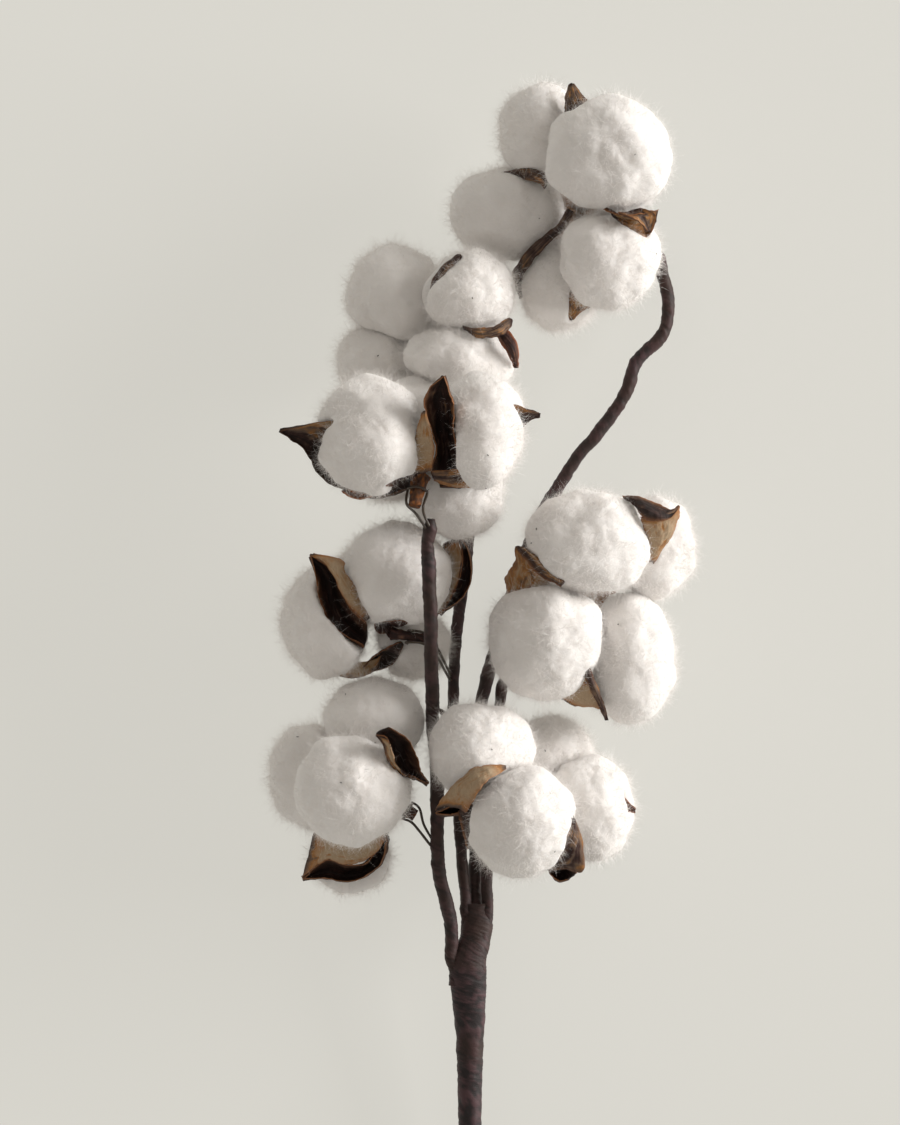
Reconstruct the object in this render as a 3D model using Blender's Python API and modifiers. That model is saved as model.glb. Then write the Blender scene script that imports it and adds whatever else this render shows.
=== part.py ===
"""Cotton stem bunch: seven open cotton bolls on four tape-wrapped wire branches, lying on a flat surface.

Working frame, in millimetres: the origin is under the fork where the branches leave the main stem,
+Y runs from the stem to the bolls, +X to the right seen from above, and +Z up from the surface.
At the end one empty carries every piece so that the bunch's bottom centre is at the world's origin.
"""

import math

import bmesh
import bpy
from mathutils import Vector

MM = 0.001

# Driving dimensions, in millimetres
STEM_BELOW_FORK = 215.0
BARE_WIRE_RADIUS = 1.0
BRANCH_RADIUS = 1.75
MIDDLE_BRANCH_RADIUS = 2.0
THICK_BRANCH_RADIUS = 2.1
HAIRPIN_WIRE_RADIUS = 0.55
TAPE_THICKNESS = 0.45
VALVE_THICKNESS = 1.0
LOCK_CLEARANCE = 0.5
RECEPTACLE_THICKNESS = 1.6
STUB_ROOT_RADIUS = 2.6
STUB_END_RADIUS = 2.1
TOUCHING_GAP = 0.3
PRESSING_DISTANCE = 2.0
FLOOR_CLEARANCE = 0.15
LEG_CLEARANCE = 0.6
LEG_SPREAD = 2.0
FOOT_SPREAD = 0.95
WIRE_INSET = 0.5
WRAP_LENGTH = 4.0

# Mesh fineness
LOCK_SUBDIVISIONS = 2
RIM_STEPS_PER_VALVE = {4: 8, 5: 6}
SHELL_RINGS = 5
CLEARING_PASSES = 9
CHORD_ALLOWANCE = 1.18
CORE_SHARE = 0.55
RELAX_PASSES = 3
TIP_LIFT_FROM = 0.45
TIP_SHARPNESS = 1.5
NOTCH_POWER = 0.6
STUB_TAPER_SHARE = 0.35
DEGENERATE_EDGE = 0.00005

# How far along the stub its wire crosses it
NECK_SHARE = 0.78
ROUTE_STEP = 6.5
SLEEVE_SIDES = 16

# Angle from the stub at which neighbouring valves part, in degrees
NOTCH_ANGLE = 34.0

# Each boll: heart (where its locks meet), root (outside of the receptacle), stub (free end of the stub),
# locks as (centre, half sizes) in order round the boll, and tips as (point of the valve) where
# tip number n lies between lock n and the next lock.
BOLLS = {
    "boll_top": {
        "heart": (31, 244.5, 24),
        "root": (40, 243, 9),
        "stub": (47, 238.5, 5),
        "locks": [
            ((44.5, 260, 43), (19.5, 18, 17)),
            ((44, 227.5, 38), (15, 15.5, 15.5)),
            ((29, 220, 25), (12, 13.5, 14)),
            ((12, 242.5, 23), (17, 14, 15.5)),
            ((22.5, 268.5, 27), (11.5, 14.5, 13.5)),
        ],
        "tips": [
            (59.5, 240.5, 47),
            (33, 207.5, 33),
            (17, 219.5, 34),
            (10.5, 256, 33),
            (31.5, 283.5, 39),
        ],
    },
    "boll_upper_back": {
        "heart": (-11, 205, 23),
        "root": (-3.5, 204.5, 10),
        "stub": (-4, 196.5, 5),
        "locks": [
            ((0, 216, 40.5), (13.5, 12, 13)),
            ((-24, 215.5, 24.5), (14.5, 16, 15)),
            ((-29.5, 195.5, 20.5), (12, 13, 14)),
            ((-3.5, 194.5, 37), (16.5, 13.5, 14)),
        ],
        "tips": [
            (-4.5, 228, 44.5),
            (-40, 205.5, 16.5),
            (-21, 186.5, 28.5),
            (13.5, 206, 44),
        ],
    },
    "boll_upper_front": {
        "heart": (-14.5, 168, 46),
        "root": (-16, 157, 57),
        "stub": (-17.5, 148.5, 62),
        "locks": [
            ((-31.5, 170.5, 62), (16, 18, 16)),
            ((3.5, 172, 64), (13, 17.2, 15)),
            ((-4, 152, 34), (14, 13, 13)),
            ((-13, 177, 37), (14, 14, 13)),
            ((-26, 160, 32.5), (11.5, 9, 11)),
        ],
        "tips": [
            (-8.5, 189, 76),
            (21, 177.5, 58),
            (11, 163, 26),
            (-31, 172, 22),
            (-59.5, 172.5, 60),
        ],
    },
    "boll_mid_left": {
        "heart": (-31.5, 114.5, 24),
        "root": (-25, 107, 37),
        "stub": (-14.5, 105, 38),
        "locks": [
            ((-24, 126, 34), (16.8, 16, 16)),
            ((-18.5, 104, 18), (10.5, 9.5, 11)),
            ((-31.5, 123, 15), (13, 13, 13)),
            ((-46.5, 111.5, 28), (13.5, 17.3, 15)),
        ],
        "tips": [
            (-4.5, 139, 32),
            (-33, 95, 17),
            (-44, 95, 15),
            (-51.5, 132.5, 42),
        ],
    },
    "boll_mid_right": {
        "heart": (40, 118.5, 26),
        "root": (33, 117, 12),
        "stub": (30, 108.5, 6),
        "locks": [
            ((38, 136.5, 45), (19.5, 16, 16)),
            ((24.5, 105.5, 41), (17.8, 18.4, 17)),
            ((51, 99, 31), (14, 20.8, 15)),
            ((59, 135, 28.5), (12, 16, 13)),
        ],
        "tips": [
            (15, 135.5, 43),
            (43.5, 80.5, 41),
            (62, 118.5, 31),
            (66, 148, 49),
        ],
    },
    "boll_low_left": {
        "heart": (-38, 56, 25),
        "root": (-22.5, 52, 21),
        "stub": (-17.5, 49, 21),
        "locks": [
            ((-37.5, 58, 41), (17.5, 17, 16)),
            ((-31, 79, 27), (15, 13.5, 15)),
            ((-51, 62, 19), (13, 16, 14)),
            ((-38.5, 34, 16), (12, 10, 12)),
        ],
        "tips": [
            (-29.5, 77, 59),
            (-44, 81, 12),
            (-59.5, 37.5, 12),
            (-53.5, 28.5, 41),
        ],
    },
    "boll_low_right": {
        "heart": (20.5, 57.5, 31),
        "root": (18.5, 51, 17),
        "stub": (15, 43.5, 12),
        "locks": [
            ((3.5, 70, 42), (16, 14.5, 15)),
            ((16, 48.5, 48), (16.8, 17.2, 16)),
            ((38, 52, 29), (13.5, 16.2, 15)),
            ((26, 67, 19), (13, 12, 14)),
        ],
        "tips": [
            (-10.5, 51.5, 54),
            (35.5, 32.5, 44),
            (53, 51, 32),
            (-10, 82.5, 32),
        ],
    },
}

# Each branch's route beyond the fork, from the fork to its top
BRANCH_ROUTES = {
    "branch_left": [
        (-4.7, 0, 16.5),
        (-6, 5, 17),
        (-6.5, 16, 18.5),
        (-9.5, 28.5, 20),
        (-10.5, 39, 22),
        (-10.5, 51, 24),
        (-11, 70, 27),
        (-12, 80, 34),
        (-12, 90, 42),
        (-12.5, 110, 53),
        (-13, 126, 55.5),
        (-13.5, 136.5, 56.5),
        (-12.5, 143.5, 57.5),
    ],
    "branch_back": [
        (-1.6, 0, 14.9),
        (-1.2, 3, 14.9),
        (-0.7, 14, 14.2),
        (-1.3, 18, 13.8),
        (-2, 28.5, 11),
        (-4, 57, 9.5),
        (-5.5, 86, 14),
        (-4, 109.5, 17),
        (-3, 117.5, 16),
        (-0.5, 136.5, 13),
        (0, 144, 11.5),
        (-2, 160.5, 8),
        (-4, 176, 5.5),
        (-4.5, 188, 5.5),
    ],
    "branch_tall": [
        (0.9, 0, 14.7),
        (1.3, 3, 14.5),
        (2.2, 14, 12.4),
        (2.1, 18, 11.4),
        (1.5, 28, 7.5),
        (2.5, 57, 5.5),
        (3.5, 83, 5.5),
        (8, 101.5, 7),
        (13, 118.5, 9),
        (19.5, 136.5, 10),
        (23.5, 146.5, 11),
        (34, 163.5, 13),
        (42, 173, 14),
        (50, 184.5, 14),
        (54, 195.5, 14),
        (62.5, 204.5, 13),
        (64, 215.5, 11),
        (62, 225, 9),
        (60.5, 231, 8),
    ],
    "branch_right": [
        (3.1, 0, 16.4),
        (3.4, 3, 16.2),
        (5.3, 14, 14.4),
        (5.7, 18, 13.9),
        (5.5, 28, 11),
        (7, 57, 6.5),
        (9.5, 81.5, 5.5),
        (11, 92, 5.5),
        (17, 95.5, 6.5),
        (25, 98, 6),
    ],
}

BRANCH_RADII = {
    "branch_left": THICK_BRANCH_RADIUS,
    "branch_back": BRANCH_RADIUS,
    "branch_tall": MIDDLE_BRANCH_RADIUS,
    "branch_right": BRANCH_RADIUS,
}

# Where each bare wire lies in the bundle, as (x, z) from the main stem's axis
BUNDLE_PLACES = {
    "branch_left": (-1.25, 1.25),
    "branch_back": (-1.25, -1.25),
    "branch_tall": (1.25, -1.25),
    "branch_right": (1.25, 1.25),
}

# Length along the stem at which each branch is wrapped to its full radius
WRAPPED_FROM = {
    "branch_left": 4.0,
    "branch_back": 18.0,
    "branch_tall": 18.0,
    "branch_right": 18.0,
}

# Main stem's axis and the outside of its tape: (centre, half width, half height)
MAIN_STEM_SECTIONS = [
    ((2, -STEM_BELOW_FORK, 3.6), 3.5, 3.5),
    ((1, -160, 4.6), 3.5, 3.5),
    ((0.3, -100, 7.2), 3.55, 3.5),
    ((0, -50, 10.8), 3.7, 3.6),
    ((0, -23, 13.4), 4.5, 3.8),
    ((-0.5, -4, 15.6), 5.7, 4.1),
    ((-0.6, 0, 16), 6.1, 4.1),
]
UPPER_STEM_SECTIONS = [
    ((1.0, 2.5, 15.6), 4.3, 3.5),
    ((1.7, 8, 14.6), 4.7, 3.7),
    ((2.3, 14, 13.4), 5.0, 3.9),
]

# Each hairpin wire: where its legs end on a branch, a point on their way, and the side of the stub
# that it crosses
HAIRPINS = {
    "boll_top": ((59.7, 232.2, 7.8), (53, 236, 6.5), (0, 0, -1)),
    "boll_upper_back": ((-4.5, 189.2, 5.4), (-4.2, 193, 5.2), (0, 0, 1)),
    "boll_upper_front": ((-13.2, 144.8, 58.2), (-16.4, 144.8, 60), (0, 0, 1)),
    "boll_mid_left": ((-7.6, 95.6, 18.5), (-11.5, 101.5, 30), (0, 0, 1)),
    "boll_mid_right": ((26.2, 98.9, 6.0), (28.3, 103.5, 6.0), (0, 0, -1)),
    "boll_low_left": ((-13.4, 41.2, 22.0), (-15.5, 45, 21.5), (0, 0, 1)),
    "boll_low_right": ((9.0, 35.5, 10.5), (12, 39.5, 11.5), (0, 0, -1)),
}

COTTON = ("cotton", (0.92, 0.90, 0.88), 0.95)
BURR = ("burr", (0.16, 0.085, 0.05), 0.75)
WIRE = ("wire", (0.09, 0.065, 0.045), 0.45)
TAPE = ("tape", (0.13, 0.075, 0.08), 0.8)


def clear_scene():
    for obj in list(bpy.data.objects):
        bpy.data.objects.remove(obj, do_unlink=True)


def add_object(name, data, look, parts, frame):
    """Link one named piece with its own material, carried by the bunch's frame."""
    slot, colour, roughness = look
    material = bpy.data.materials.new(f"{slot}_{name}")
    material.use_nodes = True
    shader = material.node_tree.nodes["Principled BSDF"]
    shader.inputs["Base Color"].default_value = (*colour, 1.0)
    shader.inputs["Roughness"].default_value = roughness
    shader.inputs["Metallic"].default_value = 0.0
    data.materials.append(material)
    obj = bpy.data.objects.new(name, data)
    parts.objects.link(obj)
    obj.parent = frame
    return obj


def ellipsoid_exit(origin, direction, centre, half_sizes):
    """Distance along a ray at which it leaves an ellipsoid, or 0 where it misses."""
    start = Vector([(origin[i] - centre[i]) / half_sizes[i] for i in range(3)])
    step = Vector([direction[i] / half_sizes[i] for i in range(3)])
    a = step.dot(step)
    b = start.dot(step)
    c = start.dot(start) - 1.0
    root = b * b - a * c
    if root <= 0.0:
        return 0.0
    return max(0.0, (-b + math.sqrt(root)) / a)


def half_extent(direction, half_sizes):
    """Distance from an ellipsoid's centre to its surface along a direction."""
    return 1.0 / math.sqrt(sum((direction[i] / half_sizes[i]) ** 2 for i in range(3)))


def lock_cuts(name, all_locks):
    """Planes that keep a lock clear of each lock it presses on, as (point, outward normal)."""
    centre, half_sizes = all_locks[name]
    cuts = []
    for other, (other_centre, other_sizes) in all_locks.items():
        if other == name:
            continue
        apart = Vector(other_centre) - Vector(centre)
        normal = apart.normalized()
        own = half_extent(normal, half_sizes)
        theirs = half_extent(normal, other_sizes)
        if own + theirs + PRESSING_DISTANCE < apart.length:
            continue
        share = own / (own + theirs)
        reach = apart.length * share - TOUCHING_GAP / 2
        cuts.append((Vector(centre) + normal * reach, normal))
    return cuts


def make_lock(name, all_locks):
    """One tuft of cotton: an ellipsoid pressed flat where it meets its neighbours."""
    centre, half_sizes = all_locks[name]
    mesh = bpy.data.meshes.new(name)
    shape = bmesh.new()
    bmesh.ops.create_icosphere(shape, subdivisions=LOCK_SUBDIVISIONS, radius=1.0)
    for vertex in shape.verts:
        for i in range(3):
            vertex.co[i] = (centre[i] + vertex.co[i] * half_sizes[i]) * MM
    for point, normal in lock_cuts(name, all_locks):
        everything = shape.verts[:] + shape.edges[:] + shape.faces[:]
        cut = bmesh.ops.bisect_plane(
            shape, geom=everything, plane_co=point * MM, plane_no=normal, clear_outer=True
        )
        rim = [item for item in cut["geom_cut"] if isinstance(item, bmesh.types.BMEdge)]
        if rim:
            bmesh.ops.contextual_create(shape, geom=rim)
    bmesh.ops.dissolve_degenerate(shape, edges=shape.edges[:], dist=DEGENERATE_EDGE)
    bmesh.ops.recalc_face_normals(shape, faces=shape.faces[:])
    shape.to_mesh(mesh)
    shape.free()
    mesh.shade_smooth()
    return mesh


def valve_fraction(turn):
    """Height of the valve's outline at a turn of 0 (its middle) to 1 (the notch)."""
    return 1.0 - turn**NOTCH_POWER


def smooth_step(value):
    value = min(1.0, max(0.0, value))
    return value * value * (3.0 - 2.0 * value)


def burr_columns(boll, base, across, along):
    """Directions round the stub, valve by valve: (turn angle, outline angle, tip distance, turn)."""
    heart = Vector(boll["heart"])
    tips = []
    for tip in boll["tips"]:
        reach = Vector(tip) - heart
        way = reach.normalized()
        angle = math.atan2(way.dot(along), way.dot(across)) % math.tau
        tips.append((angle, way.angle(base), reach.length))
    tips.sort()
    steps = RIM_STEPS_PER_VALVE[len(tips)]
    notch = math.radians(NOTCH_ANGLE)
    columns = []
    for number, (angle, fall, length) in enumerate(tips):
        next_angle, next_fall, next_length = tips[(number + 1) % len(tips)]
        gap = (next_angle - angle) % math.tau
        for step in range(steps):
            share = step / steps
            if share <= 0.5:
                turn = share * 2.0
                high, reach = fall, length
            else:
                turn = (1.0 - share) * 2.0
                high, reach = next_fall, next_length
            outline = notch + (high - notch) * valve_fraction(turn)
            columns.append((angle + gap * share, outline, reach, turn))
    return columns


def lock_reach(boll, way):
    """Distance from a boll's heart, along a direction, to just outside its locks."""
    heart = Vector(boll["heart"])
    core = (Vector(boll["root"]) - heart).length * CORE_SHARE
    reaches = [ellipsoid_exit(heart, way, centre, sizes) for centre, sizes in boll["locks"]]
    return max(max(reaches) + LOCK_CLEARANCE, core)


def receptacle_radius(boll):
    """Distance from the heart to the inside of the receptacle, where the stub stands on it."""
    stem = Vector(boll["root"]) - Vector(boll["heart"])
    return max(stem.length - RECEPTACLE_THICKNESS, lock_reach(boll, stem.normalized()))


def stub_root(boll):
    heart = Vector(boll["heart"])
    base = (Vector(boll["root"]) - heart).normalized()
    return heart + base * (receptacle_radius(boll) + RECEPTACLE_THICKNESS)


def clear_locks(boll, ways, inner):
    """Push a shell's inner surface out until no point of its triangles lies inside a lock."""
    steps = 5
    samples = [
        (u / steps, v / steps, (steps - u - v) / steps)
        for u in range(steps + 1)
        for v in range(steps + 1 - u)
    ]
    count = len(ways)
    for _ in range(CLEARING_PASSES):
        for j in range(count):
            for k in range(SHELL_RINGS):
                following = (j + 1) % count
                near, far = (j, k + 1), (following, k)
                for corners in ((near, (following, k + 1), far), (near, far, (j, k))):
                    for shares in samples:
                        place = Vector((0, 0, 0))
                        for (a, b), share in zip(corners, shares):
                            place += ways[a][b] * inner[a][b] * share
                        needed = lock_reach(boll, place.normalized())
                        lack = needed - place.length
                        if lack > 0.0:
                            scale = lack / sum(share * share for share in shares)
                            most = needed * CHORD_ALLOWANCE
                            for (a, b), share in zip(corners, shares):
                                pushed = min(inner[a][b] + share * scale, most)
                                inner[a][b] = max(inner[a][b], pushed)


def make_burr(name, boll):
    """The seed case: pointed valves in the grooves between the locks, a receptacle and a stub."""
    heart = Vector(boll["heart"])
    base = (Vector(boll["root"]) - heart).normalized()
    across = base.orthogonal().normalized()
    along = base.cross(across)
    columns = burr_columns(boll, base, across, along)
    count = len(columns)

    def direction(turn_angle, fall):
        side = across * math.cos(turn_angle) + along * math.sin(turn_angle)
        return base * math.cos(fall) + side * math.sin(fall)

    pole_radius = receptacle_radius(boll)
    stub_fall = math.atan2(STUB_ROOT_RADIUS, pole_radius + RECEPTACLE_THICKNESS)
    falls = [
        [stub_fall + (outline - stub_fall) * ring / SHELL_RINGS for ring in range(SHELL_RINGS + 1)]
        for _, outline, _, _ in columns
    ]
    inner = [
        [lock_reach(boll, direction(columns[j][0], falls[j][k])) for k in range(SHELL_RINGS + 1)]
        for j in range(count)
    ]
    for j in range(count):
        inner[j][0] = max(inner[j][0], pole_radius * math.cos(stub_fall))
    for _ in range(RELAX_PASSES):
        relaxed = []
        for j in range(count):
            row = []
            for k in range(SHELL_RINGS + 1):
                near = [inner[j - 1][k], inner[(j + 1) % count][k]]
                near.append(inner[j][max(0, k - 1)])
                near.append(inner[j][min(SHELL_RINGS, k + 1)])
                row.append(max(inner[j][k], sum(near) / 4.0))
            relaxed.append(row)
        inner = relaxed
    ways = [
        [direction(columns[j][0], falls[j][k]) for k in range(SHELL_RINGS + 1)]
        for j in range(count)
    ]
    clear_locks(boll, ways, inner)
    for j, (_, outline, reach, turn) in enumerate(columns):
        lift = (reach - VALVE_THICKNESS - inner[j][SHELL_RINGS]) * (1.0 - turn) ** TIP_SHARPNESS
        for k in range(SHELL_RINGS + 1):
            share = smooth_step((k / SHELL_RINGS - TIP_LIFT_FROM) / (1.0 - TIP_LIFT_FROM))
            inner[j][k] += max(0.0, lift) * share

    for j in range(count):
        for k in range(SHELL_RINGS + 1):
            if ways[j][k].z < 0.0:
                to_surface = (heart.z - FLOOR_CLEARANCE) / -ways[j][k].z
                inner[j][k] = min(inner[j][k], to_surface - VALVE_THICKNESS)

    def point(j, k, extra):
        return heart + ways[j][k] * (inner[j][k] + extra)

    root = stub_root(boll)
    stub_end = Vector(boll["stub"])
    stub_way = (stub_end - root).normalized()
    rings = []
    for radius, centre, axis in (
        (STUB_END_RADIUS, stub_end, stub_way),
        (STUB_ROOT_RADIUS, root.lerp(stub_end, STUB_TAPER_SHARE), (stub_way + base).normalized()),
    ):
        flat_x = (across - axis * across.dot(axis)).normalized()
        flat_y = axis.cross(flat_x)
        if flat_y.dot(along) < 0:
            flat_y = -flat_y
        rings.append(
            [
                centre + (flat_x * math.cos(a) + flat_y * math.sin(a)) * radius
                for a, _, _, _ in columns
            ]
        )
    for k in range(SHELL_RINGS + 1):
        rings.append([point(j, k, VALVE_THICKNESS) for j in range(count)])
    for k in range(SHELL_RINGS, -1, -1):
        rings.append([point(j, k, 0.0) for j in range(count)])
    start = stub_end
    finish = heart + base * pole_radius
    outside_spans = len(rings) - SHELL_RINGS - 2
    return loft(name, rings, start, finish, outside_spans)


def loft(name, rings, start, finish, outside_spans):
    """A closed body through rings of equal count, with a point at each end.

    The spans of the outside are split along the same diagonals as those of the inside, so that the
    two surfaces stay apart everywhere.
    """
    shape = bmesh.new()
    rows = [[shape.verts.new(p * MM) for p in ring] for ring in rings]
    first = shape.verts.new(start * MM)
    last = shape.verts.new(finish * MM)
    count = len(rings[0])
    for j in range(count):
        following = (j + 1) % count
        shape.faces.new((first, rows[0][following], rows[0][j]))
        shape.faces.new((last, rows[-1][j], rows[-1][following]))
        for span, (low, high) in enumerate(zip(rows, rows[1:])):
            if span < outside_spans:
                shape.faces.new((low[j], low[following], high[j]))
                shape.faces.new((low[following], high[following], high[j]))
            else:
                shape.faces.new((low[j], low[following], high[following]))
                shape.faces.new((low[j], high[following], high[j]))
    bmesh.ops.recalc_face_normals(shape, faces=shape.faces[:])
    mesh = bpy.data.meshes.new(name)
    shape.to_mesh(mesh)
    shape.free()
    mesh.shade_smooth()
    return mesh


def smooth_route(points, step):
    """Points along a smooth curve through the route's own points, about one step apart."""
    route = [Vector(p) for p in points]
    padded = [route[0] * 2 - route[1], *route, route[-1] * 2 - route[-2]]
    result = []
    for before, start, end, after in zip(padded, padded[1:], padded[2:], padded[3:]):
        pieces = max(1, round((end - start).length / step))
        for piece in range(pieces):
            t = piece / pieces
            result.append(
                0.5
                * (
                    2 * start
                    + (end - before) * t
                    + (2 * before - 5 * start + 4 * end - after) * t * t
                    + (3 * start - before - 3 * end + after) * t**3
                )
            )
    result.append(route[-1])
    return result


def make_wire(name, points, radii, resolution):
    """A wire or wrapped branch: a tube with closed ends along points, each with its own radius."""
    curve = bpy.data.curves.new(name, "CURVE")
    curve.dimensions = "3D"
    curve.bevel_depth = MM
    curve.bevel_resolution = resolution
    curve.use_fill_caps = True
    spline = curve.splines.new("POLY")
    spline.points.add(len(points) - 1)
    for item, place, radius in zip(spline.points, points, radii):
        item.co = (*(place * MM), 1.0)
        item.radius = radius
    spline.use_smooth = True
    return curve


def stem_axis(along):
    """Centre of the main stem at a distance along Y."""
    centres = [Vector(centre) for centre, _, _ in MAIN_STEM_SECTIONS]
    for low, high in zip(centres, centres[1:]):
        if along <= high.y:
            return low.lerp(high, (along - low.y) / (high.y - low.y))
    return centres[-1]


def make_branch(name):
    """One branch: bare wire inside the main stem, wrapped in tape above the fork."""
    side, rise = BUNDLE_PLACES[name]
    bare = []
    for along in (-STEM_BELOW_FORK + WIRE_INSET, -160, -100, -50, -23):
        bare.append(stem_axis(along) + Vector((side, 0, rise)))
    free = smooth_route([bare[-1], *BRANCH_ROUTES[name]], ROUTE_STEP)
    points = bare[:-1] + free
    full = BRANCH_RADII[name]
    wrapped = WRAPPED_FROM[name]
    radii = []
    for place in points:
        share = smooth_step((place.y - wrapped + WRAP_LENGTH) / WRAP_LENGTH)
        radii.append(BARE_WIRE_RADIUS + (full - BARE_WIRE_RADIUS) * share)
    return make_wire(name, points, radii, 2)


def make_hairpin(name, boll, anchor, way_point, crossing):
    """A bent wire that hooks round the stub, with both legs ending at the anchor."""
    stub_end = Vector(boll["stub"])
    root = stub_root(boll)
    axis = (stub_end - root).normalized()
    neck = root.lerp(stub_end, NECK_SHARE)
    over = Vector(crossing)
    over = (over - axis * over.dot(axis)).normalized()
    side = axis.cross(over)
    reach = STUB_ROOT_RADIUS + HAIRPIN_WIRE_RADIUS + LEG_CLEARANCE
    foot = Vector(anchor)
    middle = Vector(way_point)
    leg = [
        foot + side * FOOT_SPREAD,
        middle + side * LEG_SPREAD,
        stub_end + side * reach,
        neck + side * reach,
    ]
    other_leg = [
        neck - side * reach,
        stub_end - side * reach,
        middle - side * LEG_SPREAD,
        foot - side * FOOT_SPREAD,
    ]
    bend = [
        neck + (side * math.cos(angle) + over * math.sin(angle)) * reach
        for angle in (math.pi * n / 5 for n in range(1, 5))
    ]
    points = leg + bend + other_leg
    return make_wire(name, points, [HAIRPIN_WIRE_RADIUS] * len(points), 1)


def add_tape(name, sections, parts, frame):
    """A sleeve of wound tape: an open tube of elliptical sections, thickened inwards."""
    shape = bmesh.new()
    rows = []
    for centre, half_width, half_height in sections:
        row = []
        for n in range(SLEEVE_SIDES):
            angle = math.tau * n / SLEEVE_SIDES
            offset = Vector((half_width * math.cos(angle), 0, half_height * math.sin(angle)))
            row.append(shape.verts.new((Vector(centre) + offset) * MM))
        rows.append(row)
    for low, high in zip(rows, rows[1:]):
        for n in range(SLEEVE_SIDES):
            following = (n + 1) % SLEEVE_SIDES
            shape.faces.new((low[n], high[n], high[following], low[following]))
    bmesh.ops.recalc_face_normals(shape, faces=shape.faces[:])
    mesh = bpy.data.meshes.new(name)
    shape.to_mesh(mesh)
    shape.free()
    mesh.shade_smooth()
    obj = add_object(name, mesh, TAPE, parts, frame)
    shell = obj.modifiers.new("tape thickness", "SOLIDIFY")
    shell.thickness = TAPE_THICKNESS * MM
    shell.offset = -1.0
    shell.use_even_offset = True


def settle(frame):
    """Move the frame so that the bunch's bottom centre is at the world's origin."""
    bpy.context.view_layer.update()
    depsgraph = bpy.context.evaluated_depsgraph_get()
    corners = []
    for obj in frame.children:
        shown = obj.evaluated_get(depsgraph)
        mesh = shown.to_mesh()
        corners.extend(shown.matrix_world @ vertex.co for vertex in mesh.vertices)
        shown.to_mesh_clear()
    low = Vector([min(c[i] for c in corners) for i in range(3)])
    high = Vector([max(c[i] for c in corners) for i in range(3)])
    frame.location = (-(low.x + high.x) / 2, -(low.y + high.y) / 2, -low.z)
    bpy.context.view_layer.update()


def main():
    clear_scene()
    parts = bpy.data.collections.new("cotton_stem_bunch")
    bpy.context.scene.collection.children.link(parts)
    frame = bpy.data.objects.new("bunch_frame", None)
    parts.objects.link(frame)

    all_locks = {}
    for name, boll in BOLLS.items():
        for number, lock in enumerate(boll["locks"], start=1):
            all_locks[f"{name}_lock_{number}"] = lock
    for name in all_locks:
        add_object(name, make_lock(name, all_locks), COTTON, parts, frame)
    for name, boll in BOLLS.items():
        add_object(f"{name}_burr", make_burr(f"{name}_burr", boll), BURR, parts, frame)
        anchor, way_point, crossing = HAIRPINS[name]
        wire = make_hairpin(f"{name}_wire", boll, anchor, way_point, crossing)
        add_object(f"{name}_wire", wire, WIRE, parts, frame)
    for name in BRANCH_ROUTES:
        add_object(name, make_branch(name), TAPE, parts, frame)
    add_tape("main_stem_tape", MAIN_STEM_SECTIONS, parts, frame)
    add_tape("upper_stem_tape", UPPER_STEM_SECTIONS, parts, frame)
    settle(frame)


main()
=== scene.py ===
import math

import bmesh
import bpy
import numpy as np
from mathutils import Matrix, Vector, noise
from mathutils.bvhtree import BVHTree


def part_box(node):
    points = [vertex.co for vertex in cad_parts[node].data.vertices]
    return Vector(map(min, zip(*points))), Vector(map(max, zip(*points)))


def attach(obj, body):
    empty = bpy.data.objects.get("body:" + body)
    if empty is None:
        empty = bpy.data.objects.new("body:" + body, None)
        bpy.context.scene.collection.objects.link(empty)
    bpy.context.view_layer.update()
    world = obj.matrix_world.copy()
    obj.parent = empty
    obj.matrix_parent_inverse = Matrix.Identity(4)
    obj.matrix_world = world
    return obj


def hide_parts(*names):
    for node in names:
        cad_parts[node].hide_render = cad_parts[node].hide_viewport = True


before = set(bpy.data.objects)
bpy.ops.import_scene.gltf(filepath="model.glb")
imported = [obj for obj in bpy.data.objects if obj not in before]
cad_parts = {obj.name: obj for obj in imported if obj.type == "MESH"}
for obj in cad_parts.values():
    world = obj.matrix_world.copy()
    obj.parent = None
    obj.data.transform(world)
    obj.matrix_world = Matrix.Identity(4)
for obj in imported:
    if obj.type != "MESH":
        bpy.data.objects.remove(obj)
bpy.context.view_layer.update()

MM = 0.001
TINY = 1e-9
LEAST_FACING = 1e-6
WHITE = (1.0, 1.0, 1.0, 1.0)

# Frame of the work: millimetres on the bench, as in part.py. Its origin lies under the fork, +Y
# runs up the bunch and +Z up from the surface. The tapes' own boxes give the shift from the bench
# to the row frame.
UPPER_TAPE_LEFT = -3.3
UPPER_TAPE_START = 2.5
MAIN_TAPE_FLOOR = 0.1


def bench_shift():
    upper_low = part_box("upper_stem_tape")[0]
    main_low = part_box("main_stem_tape")[0]
    return np.array(
        [
            upper_low.x / MM - UPPER_TAPE_LEFT,
            upper_low.y / MM - UPPER_TAPE_START,
            main_low.z / MM - MAIN_TAPE_FLOOR,
        ]
    )


SHIFT = bench_shift()

# Camera: straight above the bunch, a long way off
VIEW_CENTRE = (-6.4, 130.4)
CAMERA_HEIGHT = 2500.0
MIDDLE_HEIGHT = 35.0
VIEW_HEIGHT = 360.0
SENSOR = 36.0

# Nothing shown reaches lower than this above the surface
FLOOR_GAP = 0.1

# Cotton: how a lock swells past its CAD solid, then its relief by size across and height
LOCK_SUBDIVISIONS = 6
LOCK_SWELL = 1.6
LEAST_SWELL = 0.05
LOCK_SMOOTHING = 45
LOBE_SIZE = 15.0
LOBE_HEIGHT = 1.7
BILLOW_SIZE = 6.5
BILLOW_HEIGHT = 0.45
TUFT_SIZE = 1.9
TUFT_HEIGHT = 0.16
FOLD_SIZE = 12.0
FOLD_WIDTH = 0.14
FOLD_DEPTH = 0.28
COTTON_COLOUR = (0.91, 0.88, 0.855)

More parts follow.
